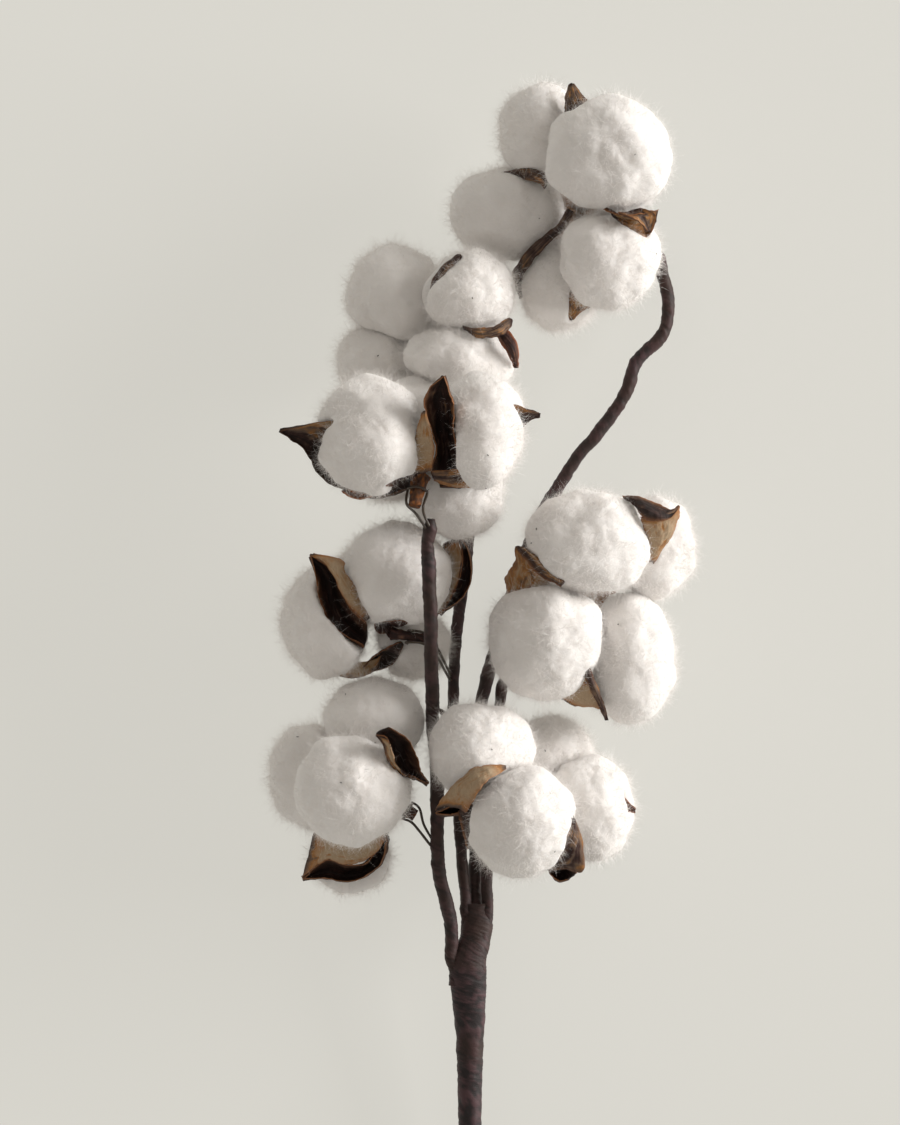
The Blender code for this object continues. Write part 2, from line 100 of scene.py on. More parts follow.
# How the cotton gives way under the valves, and how far round them it stays bare of fibres
VALVE_GAP = 0.35
PRESS_ROUNDS = 4
BARE_EDGE_ROUNDS = 2
BARE_FROM = 0.02

# Loose fibres that stand out of the cotton; a high rarity makes long ones few
FIBRES_PER_LOCK = 12000
FIBRE_POINTS = 5
FIBRE_WIDTH = 0.065
FIBRE_TAPER = 0.7
FIBRE_LENGTHS = (1.4, 6.5)
FIBRE_RARITY = 2.2
FIBRE_LIFTS = (0.2, 1.7)
FIBRE_CURL = 0.45
FIBRE_ROOT_DEPTH = 0.25

# Crumbs of dry burr in the cotton
FLECKS_PER_LOCK = 2
FLECK_LENGTHS = (0.25, 0.6)
FLECK_WIDTHS = (0.12, 0.22)
FLECK_LIFT = 0.3
FLECK_SEED = 3


# ==== Helpers ====


def to_world(points):
    """Bench millimetres to the row frame's metres."""
    return (np.asarray(points, float) + SHIFT) * MM


def unit(vector):
    return vector / np.linalg.norm(vector)


def lengths_of(vectors):
    """The length of each vector along the last axis."""
    return np.linalg.norm(vectors, axis=-1, keepdims=True)


def route_length(points):
    return np.linalg.norm(np.diff(points, axis=0), axis=1).sum()


def full_turn(count):
    """Angles once round, without the last one that would repeat the first."""
    return np.linspace(0.0, math.tau, count, endpoint=False)


def ring_ways(first, second, turn):
    """Directions round a circle in the plane of two vectors, or of two at each row."""
    return first[..., None, :] * np.cos(turn)[:, None] + second[..., None, :] * np.sin(turn)[:, None]


def smooth_points(points, count):
    """Evenly counted points on a smooth curve through the given ones."""
    route = np.array(points, float)
    padded = np.vstack([route[0] * 2 - route[1], route, route[-1] * 2 - route[-2]])
    result = []
    for n in range(count):
        at = n / (count - 1) * (len(route) - 1)
        piece = min(int(at), len(route) - 2)
        t = at - piece
        before, start, end, after = padded[piece : piece + 4]
        bend = 2 * before - 5 * start + 4 * end - after
        twist = 3 * start - before - 3 * end + after
        result.append(0.5 * (2 * start + (end - before) * t + bend * t * t + twist * t**3))
    return np.array(result)


def new_object(name, mesh, material, slot, *nodes):
    """One shown piece of the bunch, in place of its CAD nodes."""
    obj = bpy.data.objects.new(name, mesh)
    bpy.context.scene.collection.objects.link(obj)
    mesh.materials.append(material)
    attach(obj, "root")
    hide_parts(*nodes)


def mesh_from_arrays(name, places, faces, smooth=True):
    """A mesh from an (n, 3) array in metres and an (m, 3) or (m, 4) array of corner numbers."""
    mesh = bpy.data.meshes.new(name)
    places = np.ascontiguousarray(places, np.float32)
    faces = np.ascontiguousarray(faces, np.int32)
    sides = faces.shape[1]
    mesh.vertices.add(len(places))
    mesh.vertices.foreach_set("co", places.ravel())
    mesh.loops.add(faces.size)
    mesh.loops.foreach_set("vertex_index", faces.ravel())
    mesh.polygons.add(len(faces))
    mesh.polygons.foreach_set("loop_start", np.arange(0, faces.size, sides, dtype=np.int32))
    mesh.update(calc_edges=True)
    if smooth:
        mesh.shade_smooth()
    return mesh


def join_parts(parts):
    """Several (places, faces, shares) as one."""
    places, faces, shares = [], [], []
    start = 0
    for part in parts:
        places.append(part[0])
        faces.append(part[1] + start)
        shares.append(part[2])
        start += len(part[0])
    return np.concatenate(places), np.concatenate(faces), np.concatenate(shares)


def paint(mesh, shares):
    """Store three shares at each vertex, for the material to read."""
    layer = mesh.color_attributes.new("shares", "FLOAT_COLOR", "POINT")
    values = np.ones((len(mesh.vertices), 4), np.float32)
    values[:, :3] = shares
    layer.data.foreach_set("color", values.ravel())


def piece_from_parts(name, parts, material, slot, *nodes):
    """One painted piece from its parts; gives its places in millimetres and its faces."""
    places, faces, shares = join_parts(parts)
    mesh = mesh_from_arrays(name, places * MM, faces)
    paint(mesh, shares)
    new_object(name, mesh, material, slot, *nodes)
    return places, faces


def grid_part(rows, tone, rim, red):
    """A closed ring-by-ring surface: (rows, columns, 3) places with shares for each."""
    count, columns = rows.shape[:2]
    grid = np.arange(count * columns).reshape(count, columns)
    beside = np.roll(grid, -1, axis=1)
    faces = np.stack([grid[:-1], beside[:-1], beside[1:], grid[1:]], axis=-1).reshape(-1, 4)
    shares = np.stack(np.broadcast_arrays(tone, rim, red), axis=-1)
    shares = np.broadcast_to(shares, (count, columns, 3)).reshape(-1, 3)
    return rows.reshape(-1, 3), faces, shares


def noise_at(places, scale, octaves, offset):
    """Fractal noise of about -1 to 1 at each place, with features about scale across."""
    flat = np.reshape(places, (-1, 3))
    values = [noise.fractal(Vector(p) / scale + offset, 0.7, 2.0, octaves) for p in flat]
    return np.reshape(values, np.shape(places)[:-1])


def rgb(red, green, blue):
    """A linear colour from values of 0 to 255 as a screen shows them."""
    linear = []
    for value in (red, green, blue):
        share = value / 255.0
        linear.append(share / 12.92 if share <= 0.04045 else ((share + 0.055) / 1.055) ** 2.4)
    return (*linear, 1.0)


class Nodes:
    """A few short words for building node materials."""

    def __init__(self, name):
        self.material = bpy.data.materials.new(name)
        self.material.use_nodes = True
        self.tree = self.material.node_tree
        self.shader = self.tree.nodes["Principled BSDF"]

    def add(self, kind, **values):
        node = self.tree.nodes.new(kind)
        for key, value in values.items():
            if key in node.inputs:
                node.inputs[key].default_value = value
            else:
                setattr(node, key, value)
        return node

    def feed(self, socket, value):
        """Link another node's output to the socket, or set a plain value on it."""
        if isinstance(value, bpy.types.NodeSocket):
            self.tree.links.new(value, socket)
        else:
            socket.default_value = value

    def set(self, **values):
        for key, value in values.items():
            self.feed(self.shader.inputs[key.replace("_", " ")], value)

    def place(self, stretch=None):
        """Places on the object, stretched by a scale along each axis where one is given."""
        place = self.add("ShaderNodeTexCoord").outputs["Object"]
        if stretch is None:
            return place
        mapping = self.add("ShaderNodeMapping", Scale=stretch)
        self.feed(mapping.inputs["Vector"], place)
        return mapping.outputs["Vector"]

    def shares(self):
        """The three shares painted on the mesh, as one colour."""
        return self.add("ShaderNodeAttribute", attribute_name="shares").outputs["Color"]

    def split(self, colour):
        node = self.add("ShaderNodeSeparateColor")
        self.feed(node.inputs["Color"], colour)
        return [node.outputs[name] for name in ("Red", "Green", "Blue")]

    def noise(self, place, scale, detail, roughness, distortion=0.0):
        node = self.add("ShaderNodeTexNoise", Scale=scale, Detail=detail, Roughness=roughness)
        node.inputs["Distortion"].default_value = distortion
        self.feed(node.inputs["Vector"], place)
        return node.outputs["Fac"]

    def ramp(self, value, *stops):
        """Colours at (position, colour) stops, read at value."""
        node = self.add("ShaderNodeValToRGB")
        elements = node.color_ramp.elements
        while len(elements) < len(stops):
            elements.new(0.5)
        for element, (position, colour) in zip(elements, stops):
            element.position = position
            element.color = colour
        self.feed(node.inputs["Fac"], value)
        return node.outputs["Color"]

    def mix(self, blend, factor, first, second):
        node = self.add("ShaderNodeMix", data_type="RGBA", blend_type=blend)
        for name, value in (("Factor", factor), ("A", first), ("B", second)):
            self.feed(node.inputs[name], value)
        return node.outputs["Result"]

    def math(self, operation, *values):
        node = self.add("ShaderNodeMath", operation=operation)
        for socket, value in zip(node.inputs, values):
            self.feed(socket, value)
        return node.outputs["Value"]

    def bump(self, height, strength, distance):
        node = self.add("ShaderNodeBump", Strength=strength, Distance=distance)
        self.feed(node.inputs["Height"], height)
        self.set(Normal=node.outputs["Normal"])


# ==== Cotton ====


def icosphere(subdivisions):
    """Unit directions, triangles and edges of an icosphere, as arrays."""
    shape = bmesh.new()
    bmesh.ops.create_icosphere(shape, subdivisions=subdivisions, radius=1.0)
    ways = np.array([v.co[:] for v in shape.verts])
    faces = np.array([[v.index for v in f.verts] for f in shape.faces])
    edges = np.array([[e.verts[0].index, e.verts[1].index] for e in shape.edges])
    shape.free()
    return ways / lengths_of(ways), faces, edges


LOCK_NODES = sorted(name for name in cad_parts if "_lock_" in name)
SPHERE_WAYS, SPHERE_FACES, SPHERE_EDGES = icosphere(LOCK_SUBDIVISIONS)


def smooth_on_sphere(values, rounds):
    """Values averaged with their neighbours' along the sphere's edges, a number of times."""
    one, other = SPHERE_EDGES.T
    count = np.zeros(len(values))
    np.add.at(count, one, 1.0)
    np.add.at(count, other, 1.0)
    for _ in range(rounds):
        total = np.zeros_like(values)
        np.add.at(total, one, values[other])
        np.add.at(total, other, values[one])
        values = values * 0.5 + total / count * 0.5
    return values


def cad_tree(nodes):
    """A search tree over several CAD solids, in row-frame millimetres."""
    places, faces = [], []
    for node in nodes:
        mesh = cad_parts[node].data
        start = len(places)
        places.extend(v.co / MM for v in mesh.vertices)
        faces.extend([start + n for n in p.vertices] for p in mesh.polygons)
    return BVHTree.FromPolygons(places, faces)


def swollen_radius(node, centre, ways):
    """Distance from the centre to a lock's surface, swollen by up to half the gap to the next one."""
    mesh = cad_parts[node].data
    others = cad_tree([name for name in LOCK_NODES if name != node])
    normals = np.array([p.normal[:] for p in mesh.polygons])
    points = np.array([p.center[:] for p in mesh.polygons]) / MM
    swell = []
    for point in points:
        gap = others.find_nearest(Vector(point))[3]
        swell.append(min(LOCK_SWELL, max(LEAST_SWELL, gap / 2 - LEAST_SWELL)))
    reach = np.einsum("ij,ij->i", points - centre, normals) + np.array(swell)
    facing = ways @ normals.T
    with np.errstate(divide="ignore", invalid="ignore"):
        out = np.where(facing > LEAST_FACING, reach / facing, np.inf)
    return out.min(axis=1)


def lock_surface(node, seed, burr_tree):
    """A lock's fluffy surface: centre, directions, radius, and where a valve touches it."""
    low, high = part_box(node)
    centre = np.array((low + high) / 2) / MM
    ways = SPHERE_WAYS
    radius = smooth_on_sphere(swollen_radius(node, centre, ways), LOCK_SMOOTHING)
    places = centre + ways * radius[:, None]
    offset = Vector((seed * 3.7, seed * 1.3, seed * 2.1))
    lobes = noise_at(places, LOBE_SIZE, 2, offset)
    billows = noise_at(places, BILLOW_SIZE, 2, offset * 1.7)
    tufts = noise_at(places, TUFT_SIZE, 3, offset * 0.6)
    folds = np.exp(-np.abs(noise_at(places, FOLD_SIZE, 2, offset * 2.3)) / FOLD_WIDTH)
    radius = radius + lobes * LOBE_HEIGHT + billows * BILLOW_HEIGHT + tufts * TUFT_HEIGHT
    radius = radius - folds * FOLD_DEPTH
    pressed = np.zeros(len(ways))
    start = Vector(centre)
    for n, way in enumerate(ways):
        hit = burr_tree.ray_cast(start, Vector(way), radius[n] + VALVE_GAP)
        if hit[0] is not None:
            pressed[n] = radius[n] + VALVE_GAP - hit[3]
    wide = smooth_on_sphere(pressed, PRESS_ROUNDS)
    touched = smooth_on_sphere((pressed > 0.0).astype(float), BARE_EDGE_ROUNDS) > BARE_FROM
    return centre, ways, radius - np.maximum(pressed, wide), touched


def cotton_material():
    kit = Nodes("raw_cotton")
    place = kit.place()
    fine = kit.noise(place, 900.0, 6.0, 0.7, 1.2)
    wide = kit.noise(place, 90.0, 4.0, 0.6)
    shaded = [c * 0.94 for c in COTTON_COLOUR]
    tint = kit.ramp(wide, (0.3, (*shaded, 1.0)), (0.75, (*COTTON_COLOUR, 1.0)))
    kit.bump(fine, 0.25, 0.0006)
    kit.set(Base_Color=tint, Roughness=0.95, Specular_IOR_Level=0.1)
    kit.set(Sheen_Weight=0.25, Sheen_Roughness=0.6)
    kit.set(Subsurface_Weight=0.35, Subsurface_Radius=(1.0, 0.95, 0.9), Subsurface_Scale=0.003)
    return kit.material


def fibre_material():
    kit = Nodes("loose_fibre")
    kit.set(Base_Color=(*COTTON_COLOUR, 1.0), Roughness=1.0, Specular_IOR_Level=0.1)
    kit.set(Sheen_Weight=0.3, Sheen_Roughness=0.6)
    return kit.material


def fibre_mesh(name, roots, ways, lengths, lift, rng):
    """Thin curved ribbons, each starting on a surface and wandering away from it."""
    count = len(roots)
    side = np.cross(ways, rng.normal(size=(count, 3)))
    side /= lengths_of(side) + TINY
    heading = side + ways * lift[:, None]
    heading /= lengths_of(heading)
    curl = rng.normal(size=(count, 3)) * FIBRE_CURL
    flat = np.cross(heading, rng.normal(size=(count, 3)))
    flat /= lengths_of(flat) + TINY
    place = roots.copy()
    rows = []
    for step in range(FIBRE_POINTS):
        share = step / (FIBRE_POINTS - 1)
        half = flat * (FIBRE_WIDTH * (1.0 - FIBRE_TAPER * share) / 2)
        rows.append(np.stack([place - half, place + half], axis=1))
        place = place + heading * (lengths / (FIBRE_POINTS - 1))[:, None]
        heading = heading + curl
        heading /= lengths_of(heading)
    places = np.stack(rows, axis=1).reshape(-1, 3)
    places[:, 2] = np.maximum(places[:, 2], FLOOR_GAP)
    start = np.arange(count)[:, None] * (FIBRE_POINTS * 2)
    faces = []
    for step in range(FIBRE_POINTS - 1):
        first = start + step * 2
        faces.append(np.hstack([first, first + 1, first + 3, first + 2]))
    return mesh_from_arrays(name, places * MM, np.vstack(faces), smooth=False)


def make_fibres(node, centre, ways, radius, touched, seed, material):
    """The short fuzz all over a lock, with a few longer stray fibres."""
    rng = np.random.default_rng(seed)
    free = np.nonzero(~touched)[0]
    picks = free[rng.integers(0, len(free), FIBRES_PER_LOCK)]
    out = ways[picks]
    roots = centre + out * (radius[picks] - FIBRE_ROOT_DEPTH)[:, None]
    short, long = FIBRE_LENGTHS
    lengths = short + (long - short) * rng.random(FIBRES_PER_LOCK) ** FIBRE_RARITY
    lift = rng.uniform(*FIBRE_LIFTS, FIBRES_PER_LOCK)
    mesh = fibre_mesh(f"{node}_fuzz", roots, out, lengths, lift, rng)
    new_object(f"{node}_fuzz", mesh, material, "cotton", node)


def make_flecks(boll, spots, rng, material):
    """Tiny crumbs of dry burr caught in the cotton, at (place, outward way) spots in millimetres."""
    shape, faces, _ = icosphere(1)
    parts = []
    for place, way in spots:
        across = unit(np.cross(way, rng.normal(size=3)))
        along = np.cross(way, across)
        long = rng.uniform(*FLECK_LENGTHS)
        short = rng.uniform(*FLECK_WIDTHS)
        crumb = shape[:, :1] * across * long + shape[:, 1:2] * along * short
        crumb = crumb + shape[:, 2:] * way * short
        parts.append((place + way * FLECK_LIFT + crumb, faces, np.zeros((len(shape), 3))))
    piece_from_parts(f"{boll}_flecks", parts, material, "burr", f"{boll}_burr")


def make_cotton(burr_trees, burr):
    cotton = cotton_material()
    loose = fibre_material()
    spots = {boll: [] for boll in burr_trees}
    rng = np.random.default_rng(FLECK_SEED)
    for seed, node in enumerate(LOCK_NODES, start=1):
        boll = node.split("_lock_")[0]
        centre, ways, radius, touched = lock_surface(node, seed, burr_trees[boll])
        places = centre + ways * radius[:, None]
        places[:, 2] = np.maximum(places[:, 2], FLOOR_GAP)
        mesh = mesh_from_arrays(f"{node}_cotton", places * MM, SPHERE_FACES)
        new_object(f"{node}_cotton", mesh, cotton, "cotton", node)
        make_fibres(node, centre, ways, radius, touched, seed, loose)
        free = np.nonzero(~touched)[0]
        for pick in free[rng.integers(0, len(free), FLECKS_PER_LOCK)]:
            spots[boll].append((centre + ways[pick] * radius[pick], ways[pick]))
    for boll, found in spots.items():
        make_flecks(boll, found, rng, burr)


# ==== Burrs ====

# Each boll's valves: the tones across a valve, or one tone for all of it, then its outlines from
# base to tip: one edge, its spine and the other edge, in bench millimetres
VALVES = {
    "boll_upper_front": [
    ("gold red gold",
     [(-40.5, 153.5, 57), (-38, 151.5, 56), (-34, 150.5, 56), (-29, 153, 57)],
     [(-40, 153.5, 58), (-37.5, 152, 58), (-34, 151.5, 58), (-29, 153.5, 58)],
     [(-39.5, 154.5, 56), (-37, 153.5, 57), (-33.5, 153, 57), (-29, 154.5, 57)]),
    ("gold umber gold",
     [(-12.5, 159, 66), (-7.5, 159.5, 66), (-2.5, 159.5, 66), (2, 155.5, 58)],
     [(-12, 157.5, 66), (-7.5, 157, 65), (-2, 157, 63), (2, 155, 57)],
     [(-11.5, 156.5, 63), (-7, 155, 60), (-2, 154.5, 57), (2.5, 154.5, 55)]),
    ("umber dark umber",
     [(-12.5, 159.5, 66), (-11, 166, 71), (-12.5, 172, 76),
      (-14.5, 178, 79), (-14, 184, 82), (-8.5, 189, 83)],
     [(-7.5, 159.5, 59), (-7.5, 166.5, 60), (-8.5, 173, 64),
      (-9, 179, 70), (-9.5, 184, 76), (-8.5, 188.5, 82)],
     [(-2.5, 160, 67), (-4, 166, 73), (-5, 172, 77),
      (-5, 179.5, 80), (-6.5, 184, 82), (-8, 189, 83)]),
    ("tan",
     [(-19, 158, 60), (-18.5, 164.5, 66), (-17, 170.5, 71), (-15, 177.5, 77)],
     [(-16, 158.5, 64), (-15, 165.5, 70), (-15, 171.5, 75), (-14.5, 178, 79)],
     [(-12.5, 159.5, 66), (-11.5, 166, 71), (-12.5, 172, 76), (-14.5, 178, 79)]),
    ("dark grey tan",
     [(-17.5, 154.5, 55), (-29.5, 151, 50), (-40, 153, 50),
      (-48, 158, 54), (-53, 166, 61), (-60, 171.5, 67)],
     [(-18, 156.5, 50), (-28, 154, 45), (-37.5, 156.5, 45),
      (-44, 162.5, 51), (-49.5, 170, 61), (-60, 172, 67)],
     [(-18.5, 158.5, 46), (-26, 160, 42), (-34, 161, 44),
      (-39, 166.5, 58), (-43, 175, 71), (-60, 172, 68)]),
    ("dark grey tan",
     [(-9.5, 154.5, 55), (1.5, 154.5, 50), (10.5, 159.5, 52),
      (16, 167.5, 57), (17, 173.5, 64), (22, 176.5, 68)],
     [(-9.5, 156, 52), (0.5, 157.5, 46), (8.5, 162, 48),
      (14, 169, 54), (15, 176, 64), (22, 177, 69)],
     [(-9.5, 158.5, 50), (0, 160.5, 48), (6, 163.5, 54),
      (11, 170.5, 63), (13, 180, 72), (21.5, 177.5, 69)]),
    ],
    "boll_mid_left": [
    ("dark",
     [(-51, 132.5, 46), (-49.5, 125.5, 45), (-48, 118, 42), (-44, 110, 38), (-34, 103.5, 33)],
     [(-50.5, 132, 45), (-45.5, 126, 37), (-44, 118.5, 32), (-40, 111, 29), (-33.5, 105, 29)],
     [(-50.5, 133, 47), (-44.5, 128.5, 47), (-41, 121.5, 46), (-37.5, 116, 44), (-33, 111.5, 38)]),
    ("tan",
     [(-51, 133, 47), (-47, 131, 47), (-43.5, 126.5, 47),
      (-41, 121, 46), (-37.5, 116, 44), (-33, 111.5, 38)],
     [(-50.5, 133, 47), (-45, 131, 47), (-41.5, 126.5, 47),
      (-39, 122, 46), (-35.5, 117, 43), (-32, 112.5, 37)],
     [(-50, 133, 46), (-41, 131, 45), (-40, 127.5, 45),
      (-37, 122.5, 43), (-33.5, 118, 40), (-30, 113.5, 35)]),
    ("tan",
     [(-8.5, 136.5, 34), (-8.5, 131, 32), (-9.5, 125, 30), (-10.5, 118.5, 28), (-11.5, 113, 28)],
     [(-6, 137.5, 36), (-5.5, 132, 34), (-6.5, 125.5, 33), (-8, 119, 31), (-11, 113.5, 29)],
     [(-3.5, 138.5, 38), (-2.5, 132.5, 38), (-3.5, 126, 37), (-6, 119.5, 34), (-10, 114, 30)]),
    ("dark",
     [(-3.5, 138.5, 38), (-2.5, 132.5, 38), (-3.5, 126, 37), (-6, 119.5, 34), (-10, 114, 30)],
     [(-3, 138, 35), (-1, 132.5, 32), (-1.5, 126, 31), (-4, 119.5, 29), (-10, 114, 28)],
     [(-2.5, 138, 37), (0, 133, 36), (0.5, 126, 35), (-1.5, 120, 33), (-9.5, 114, 30)]),
    ("dark",
     [(-34.5, 96.5, 20), (-30, 101, 26), (-26.5, 103.5, 30), (-22, 105, 34)],
     [(-34, 95.5, 16), (-29, 98.5, 19), (-25, 101, 24), (-22, 104, 33)],
     [(-33.5, 95, 18), (-27, 96, 19), (-23, 99.5, 25), (-21.5, 103.5, 33)]),
    ("grey tan tan",
     [(-44.5, 95, 16), (-38.5, 93, 15), (-33, 94, 18), (-29, 96.5, 20)],
     [(-43, 96.5, 17), (-38, 95, 16), (-33, 96, 19), (-29, 98.5, 22)],
     [(-42, 99, 18), (-37.5, 98.5, 18), (-32, 99, 22), (-28, 101, 26)]),
    ],
    "boll_low_left": [
    ("dark",
     [(-30, 75.5, 56), (-26.5, 74.5, 57), (-25, 69.5, 54), (-22.5, 64.5, 49), (-13.5, 59.5, 40)],
     [(-28, 77, 56), (-23.5, 74, 50), (-21.5, 68.5, 45), (-19, 64, 43), (-13.5, 59.5, 39)],
     [(-25, 78, 57), (-19.5, 74.5, 56), (-16.5, 68.5, 52), (-15, 63.5, 47), (-13, 60, 40)]),
    ("grey tan tan",
     [(-30, 75.5, 55), (-27.5, 72.5, 54), (-26, 67.5, 50), (-23.5, 62.5, 45)],
     [(-28, 75, 56), (-26, 72, 56), (-25, 67, 53), (-20.5, 62, 47)],
     [(-26, 74.5, 57), (-25, 70.5, 56), (-22.5, 64.5, 51), (-17.5, 61, 45)]),
    ("dark",
     [(-54, 28.5, 15), (-46.5, 35, 24), (-40, 33.5, 26),
      (-34, 34, 28), (-31, 37, 30), (-26.5, 43, 33)],
     [(-54, 28.5, 14), (-45.5, 31, 16), (-39.5, 30, 16),
      (-33.5, 31.5, 18), (-29, 36, 22), (-26.5, 42, 32)],
     [(-54, 28, 15), (-46.5, 28.5, 20), (-41, 27.5, 21),
      (-35.5, 28.5, 22), (-29, 33, 26), (-26.5, 42, 33)]),
    ("tan",
     [(-50, 44, 26), (-41.5, 43, 32), (-33.5, 43.5, 33), (-25.5, 46, 32)],
     [(-52, 37, 20), (-43.5, 38, 29), (-34, 38.5, 31), (-26.5, 44, 33)],
     [(-54, 28.5, 15), (-46.5, 35, 24), (-38.5, 33.5, 27), (-31, 37, 30), (-26.5, 42.5, 33)]),
    ],
    "boll_low_right": [
    ("tan",
     [(-11, 51.5, 52), (-8, 56, 54), (-4.5, 60.5, 57),
      (0.5, 64.5, 59), (5.5, 66, 60), (11.5, 66, 58)],
     [(-7.5, 53, 54), (-5, 56.5, 59), (-2.5, 60, 62), (2, 63, 63), (6.5, 65, 62), (11.5, 65.5, 58)],
     [(-1.5, 51, 54), (1, 55, 60), (3, 58.5, 63), (5.5, 61.5, 64), (8, 63, 62), (11.5, 65, 58)]),
    ("dark",
     [(-11, 51, 52), (-7.5, 52.5, 54), (-5, 54, 55), (-1.5, 55, 53)],
     [(-10, 50.5, 48), (-7, 51, 45), (-4, 51, 44), (-1.5, 53, 46)],
     [(-11, 50.5, 50), (-7, 50, 50), (-4, 50.5, 50), (-1.5, 51.5, 50)]),
    ("umber dark dark",
     [(-4, 51, 50), (-3, 47.5, 46), (-2, 44, 42), (-0.5, 39, 36)],
     [(-2, 53, 52), (-0.5, 48.5, 50), (0, 44, 46), (0.5, 39, 38)],
     [(0.5, 55, 56), (1.5, 50, 54), (1.5, 44, 49), (1, 39, 40)]),
    ("umber grey grey",
     [(15.5, 32, 38), (23.5, 36.5, 46), (28.5, 42, 52), (31.5, 50, 54)],
     [(16.5, 31.5, 36), (26.5, 35.5, 48), (31.5, 40.5, 54), (33.5, 48.5, 54)],
     [(18, 31.5, 35), (29.5, 33, 46), (36, 32.5, 50), (35, 43, 52), (32.5, 50, 53)]),
    ("dark",
     [(24, 35.5, 42), (25, 31.5, 42), (28, 28.5, 40), (31, 29, 42)],
     [(27.5, 35, 40), (29, 31.5, 36), (30.5, 30, 38), (32, 30.5, 41)],
     [(31, 34.5, 48), (33, 33, 48), (34, 32, 47), (34, 31.5, 45)]),
    ("red",
     [(46, 55.5, 34), (48.5, 55.5, 33), (53, 51, 31)],
     [(46, 54, 34), (48.5, 53, 34), (53, 51, 31)],
     [(46, 51.5, 32), (49.5, 51, 32), (53, 50.5, 30)]),
    ("grey",
     [(-10, 83, 32), (-7.5, 82, 33), (-3, 82, 34)],
     [(-10, 83, 31), (-7, 81, 32), (-4, 80.5, 33)],
     [(-9.5, 82.5, 30), (-7.5, 80, 31), (-4.5, 78.5, 32)]),
    ],
    "boll_mid_right": [
    ("gold",
     [(12, 118.5, 34), (12, 126, 38), (14.5, 131, 42), (14.5, 135.5, 45)],
     [(16.5, 118.5, 40), (18, 125.5, 46), (17.5, 130, 47), (15, 135.5, 45)],
     [(22.5, 119.5, 40), (25, 124, 46), (21, 131, 49), (15.5, 135.5, 45)]),
    ("dark gold gold",
     [(14.5, 135.5, 46), (18, 131, 50), (22, 126.5, 53), (29, 123, 54)],
     [(16, 135.5, 48), (19.5, 132.5, 53), (24, 127.5, 55), (29.5, 123.5, 55)],
     [(18, 134.5, 47), (21.5, 132, 51), (25.5, 126.5, 54), (30, 124, 54)]),
    ("dark",
     [(48.5, 151.5, 46), (54.5, 151, 49), (60.5, 148.5, 51), (64, 147, 51), (66.5, 148.5, 51)],
     [(51, 149.5, 52), (55.5, 148, 56), (60.5, 146, 55), (64, 146, 53), (66.5, 148.5, 51)],
     [(54, 146.5, 52), (56, 144, 54), (59.5, 144, 55), (63.5, 144.5, 54), (66.5, 148.5, 51)]),
    ("tan",
     [(54, 145, 52), (55.5, 140.5, 50), (56.5, 136, 46), (57.5, 130.5, 42)],
     [(59.5, 145, 55), (60.5, 140, 52), (60, 135.5, 48), (58, 130.5, 42)],
     [(66.5, 148.5, 51), (66, 144, 50), (64, 139, 47), (61, 134.5, 44), (58.5, 130, 41)]),
    ("tan",
     [(26, 89.5, 38), (31.5, 92.5, 41), (36.5, 97, 44)],
     [(29.5, 86.5, 38), (34.5, 89, 43), (38, 94, 45)],
     [(33.5, 84.5, 37), (39, 84.5, 40), (41.5, 84.5, 41), (39, 93, 44)]),
    ("grey",
     [(36, 97, 46), (38, 91.5, 46), (40.5, 86, 43), (43.5, 80, 40)],
     [(37, 97, 48), (39, 91.5, 48), (41.5, 86, 45), (43.5, 80, 41)],
     [(38, 97, 46), (40, 91.5, 46), (42.5, 85.5, 43), (44, 80, 40)]),
    ],
    "boll_top": [
    ("umber grey grey",
     [(30.5, 272.5, 36), (30.5, 278, 38), (32, 283.5, 39)],
     [(33, 272, 44), (33, 277.5, 43), (32.5, 283.5, 39)],
     [(39, 274, 42), (37.5, 277.5, 41), (32.5, 283.5, 39)]),
    ("gold",
     [(42.5, 243, 50), (48, 241, 53), (54.5, 241.5, 52), (60, 243, 48)],
     [(45, 241.5, 48), (50, 239, 47), (55.5, 239, 45), (59.5, 240.5, 46)],
     [(47.5, 239, 49), (51.5, 236, 48), (56.5, 234, 44), (59.5, 239, 45)]),
    ("gold umber gold",
     [(47, 241.5, 54), (52, 239.5, 54), (56.5, 236, 48)],
     [(50, 242, 52), (55, 240, 51), (57, 236, 46)],
     [(55.5, 243, 52), (59, 241, 50), (57.5, 235.5, 44)]),
    ("gold",
     [(32, 219.5, 34), (31.5, 214.5, 34), (32, 208, 32)],
     [(34.5, 217, 38), (34, 213, 37), (32.5, 208, 32)],
     [(38.5, 214.5, 36), (41, 213, 35), (36, 211, 34), (32.5, 208, 32)]),
    ("umber umber grey",
     [(16, 215, 24), (14, 222.5, 28), (17.5, 229, 32),
      (22.5, 234, 35), (28, 238, 38), (31.5, 243.5, 38)],
     [(17, 215.5, 27), (15.5, 222, 32), (19, 228, 36),
      (24, 233, 39), (28.5, 237, 42), (32, 243, 42)],
     [(18, 215.5, 26), (16.5, 221.5, 30), (20, 227, 34),
      (24.5, 232, 37), (29.5, 236.5, 40), (33, 242.5, 41)]),
    ("grey",
     [(11, 255.5, 30), (18, 256.5, 34), (23, 255.5, 36), (25.5, 253, 36)],
     [(12, 254.5, 30), (18, 255, 36), (22.5, 253.5, 38), (25, 251.5, 37)],
     [(13, 254, 28), (18, 253, 34), (22.5, 252, 36), (24, 250, 36)]),
    ],
    "boll_upper_back": [
    ("umber umber grey",
     [(-13, 213.5, 40), (-12, 219.5, 43), (-9, 224.5, 45), (-4, 228.5, 45)],
     [(-12, 213.5, 43), (-11.5, 219, 47), (-8.5, 224, 49), (-3, 228.5, 47)],
     [(-11, 213.5, 42), (-10, 218, 45), (-7, 223, 48), (-2.5, 227.5, 46)]),
    ("red",
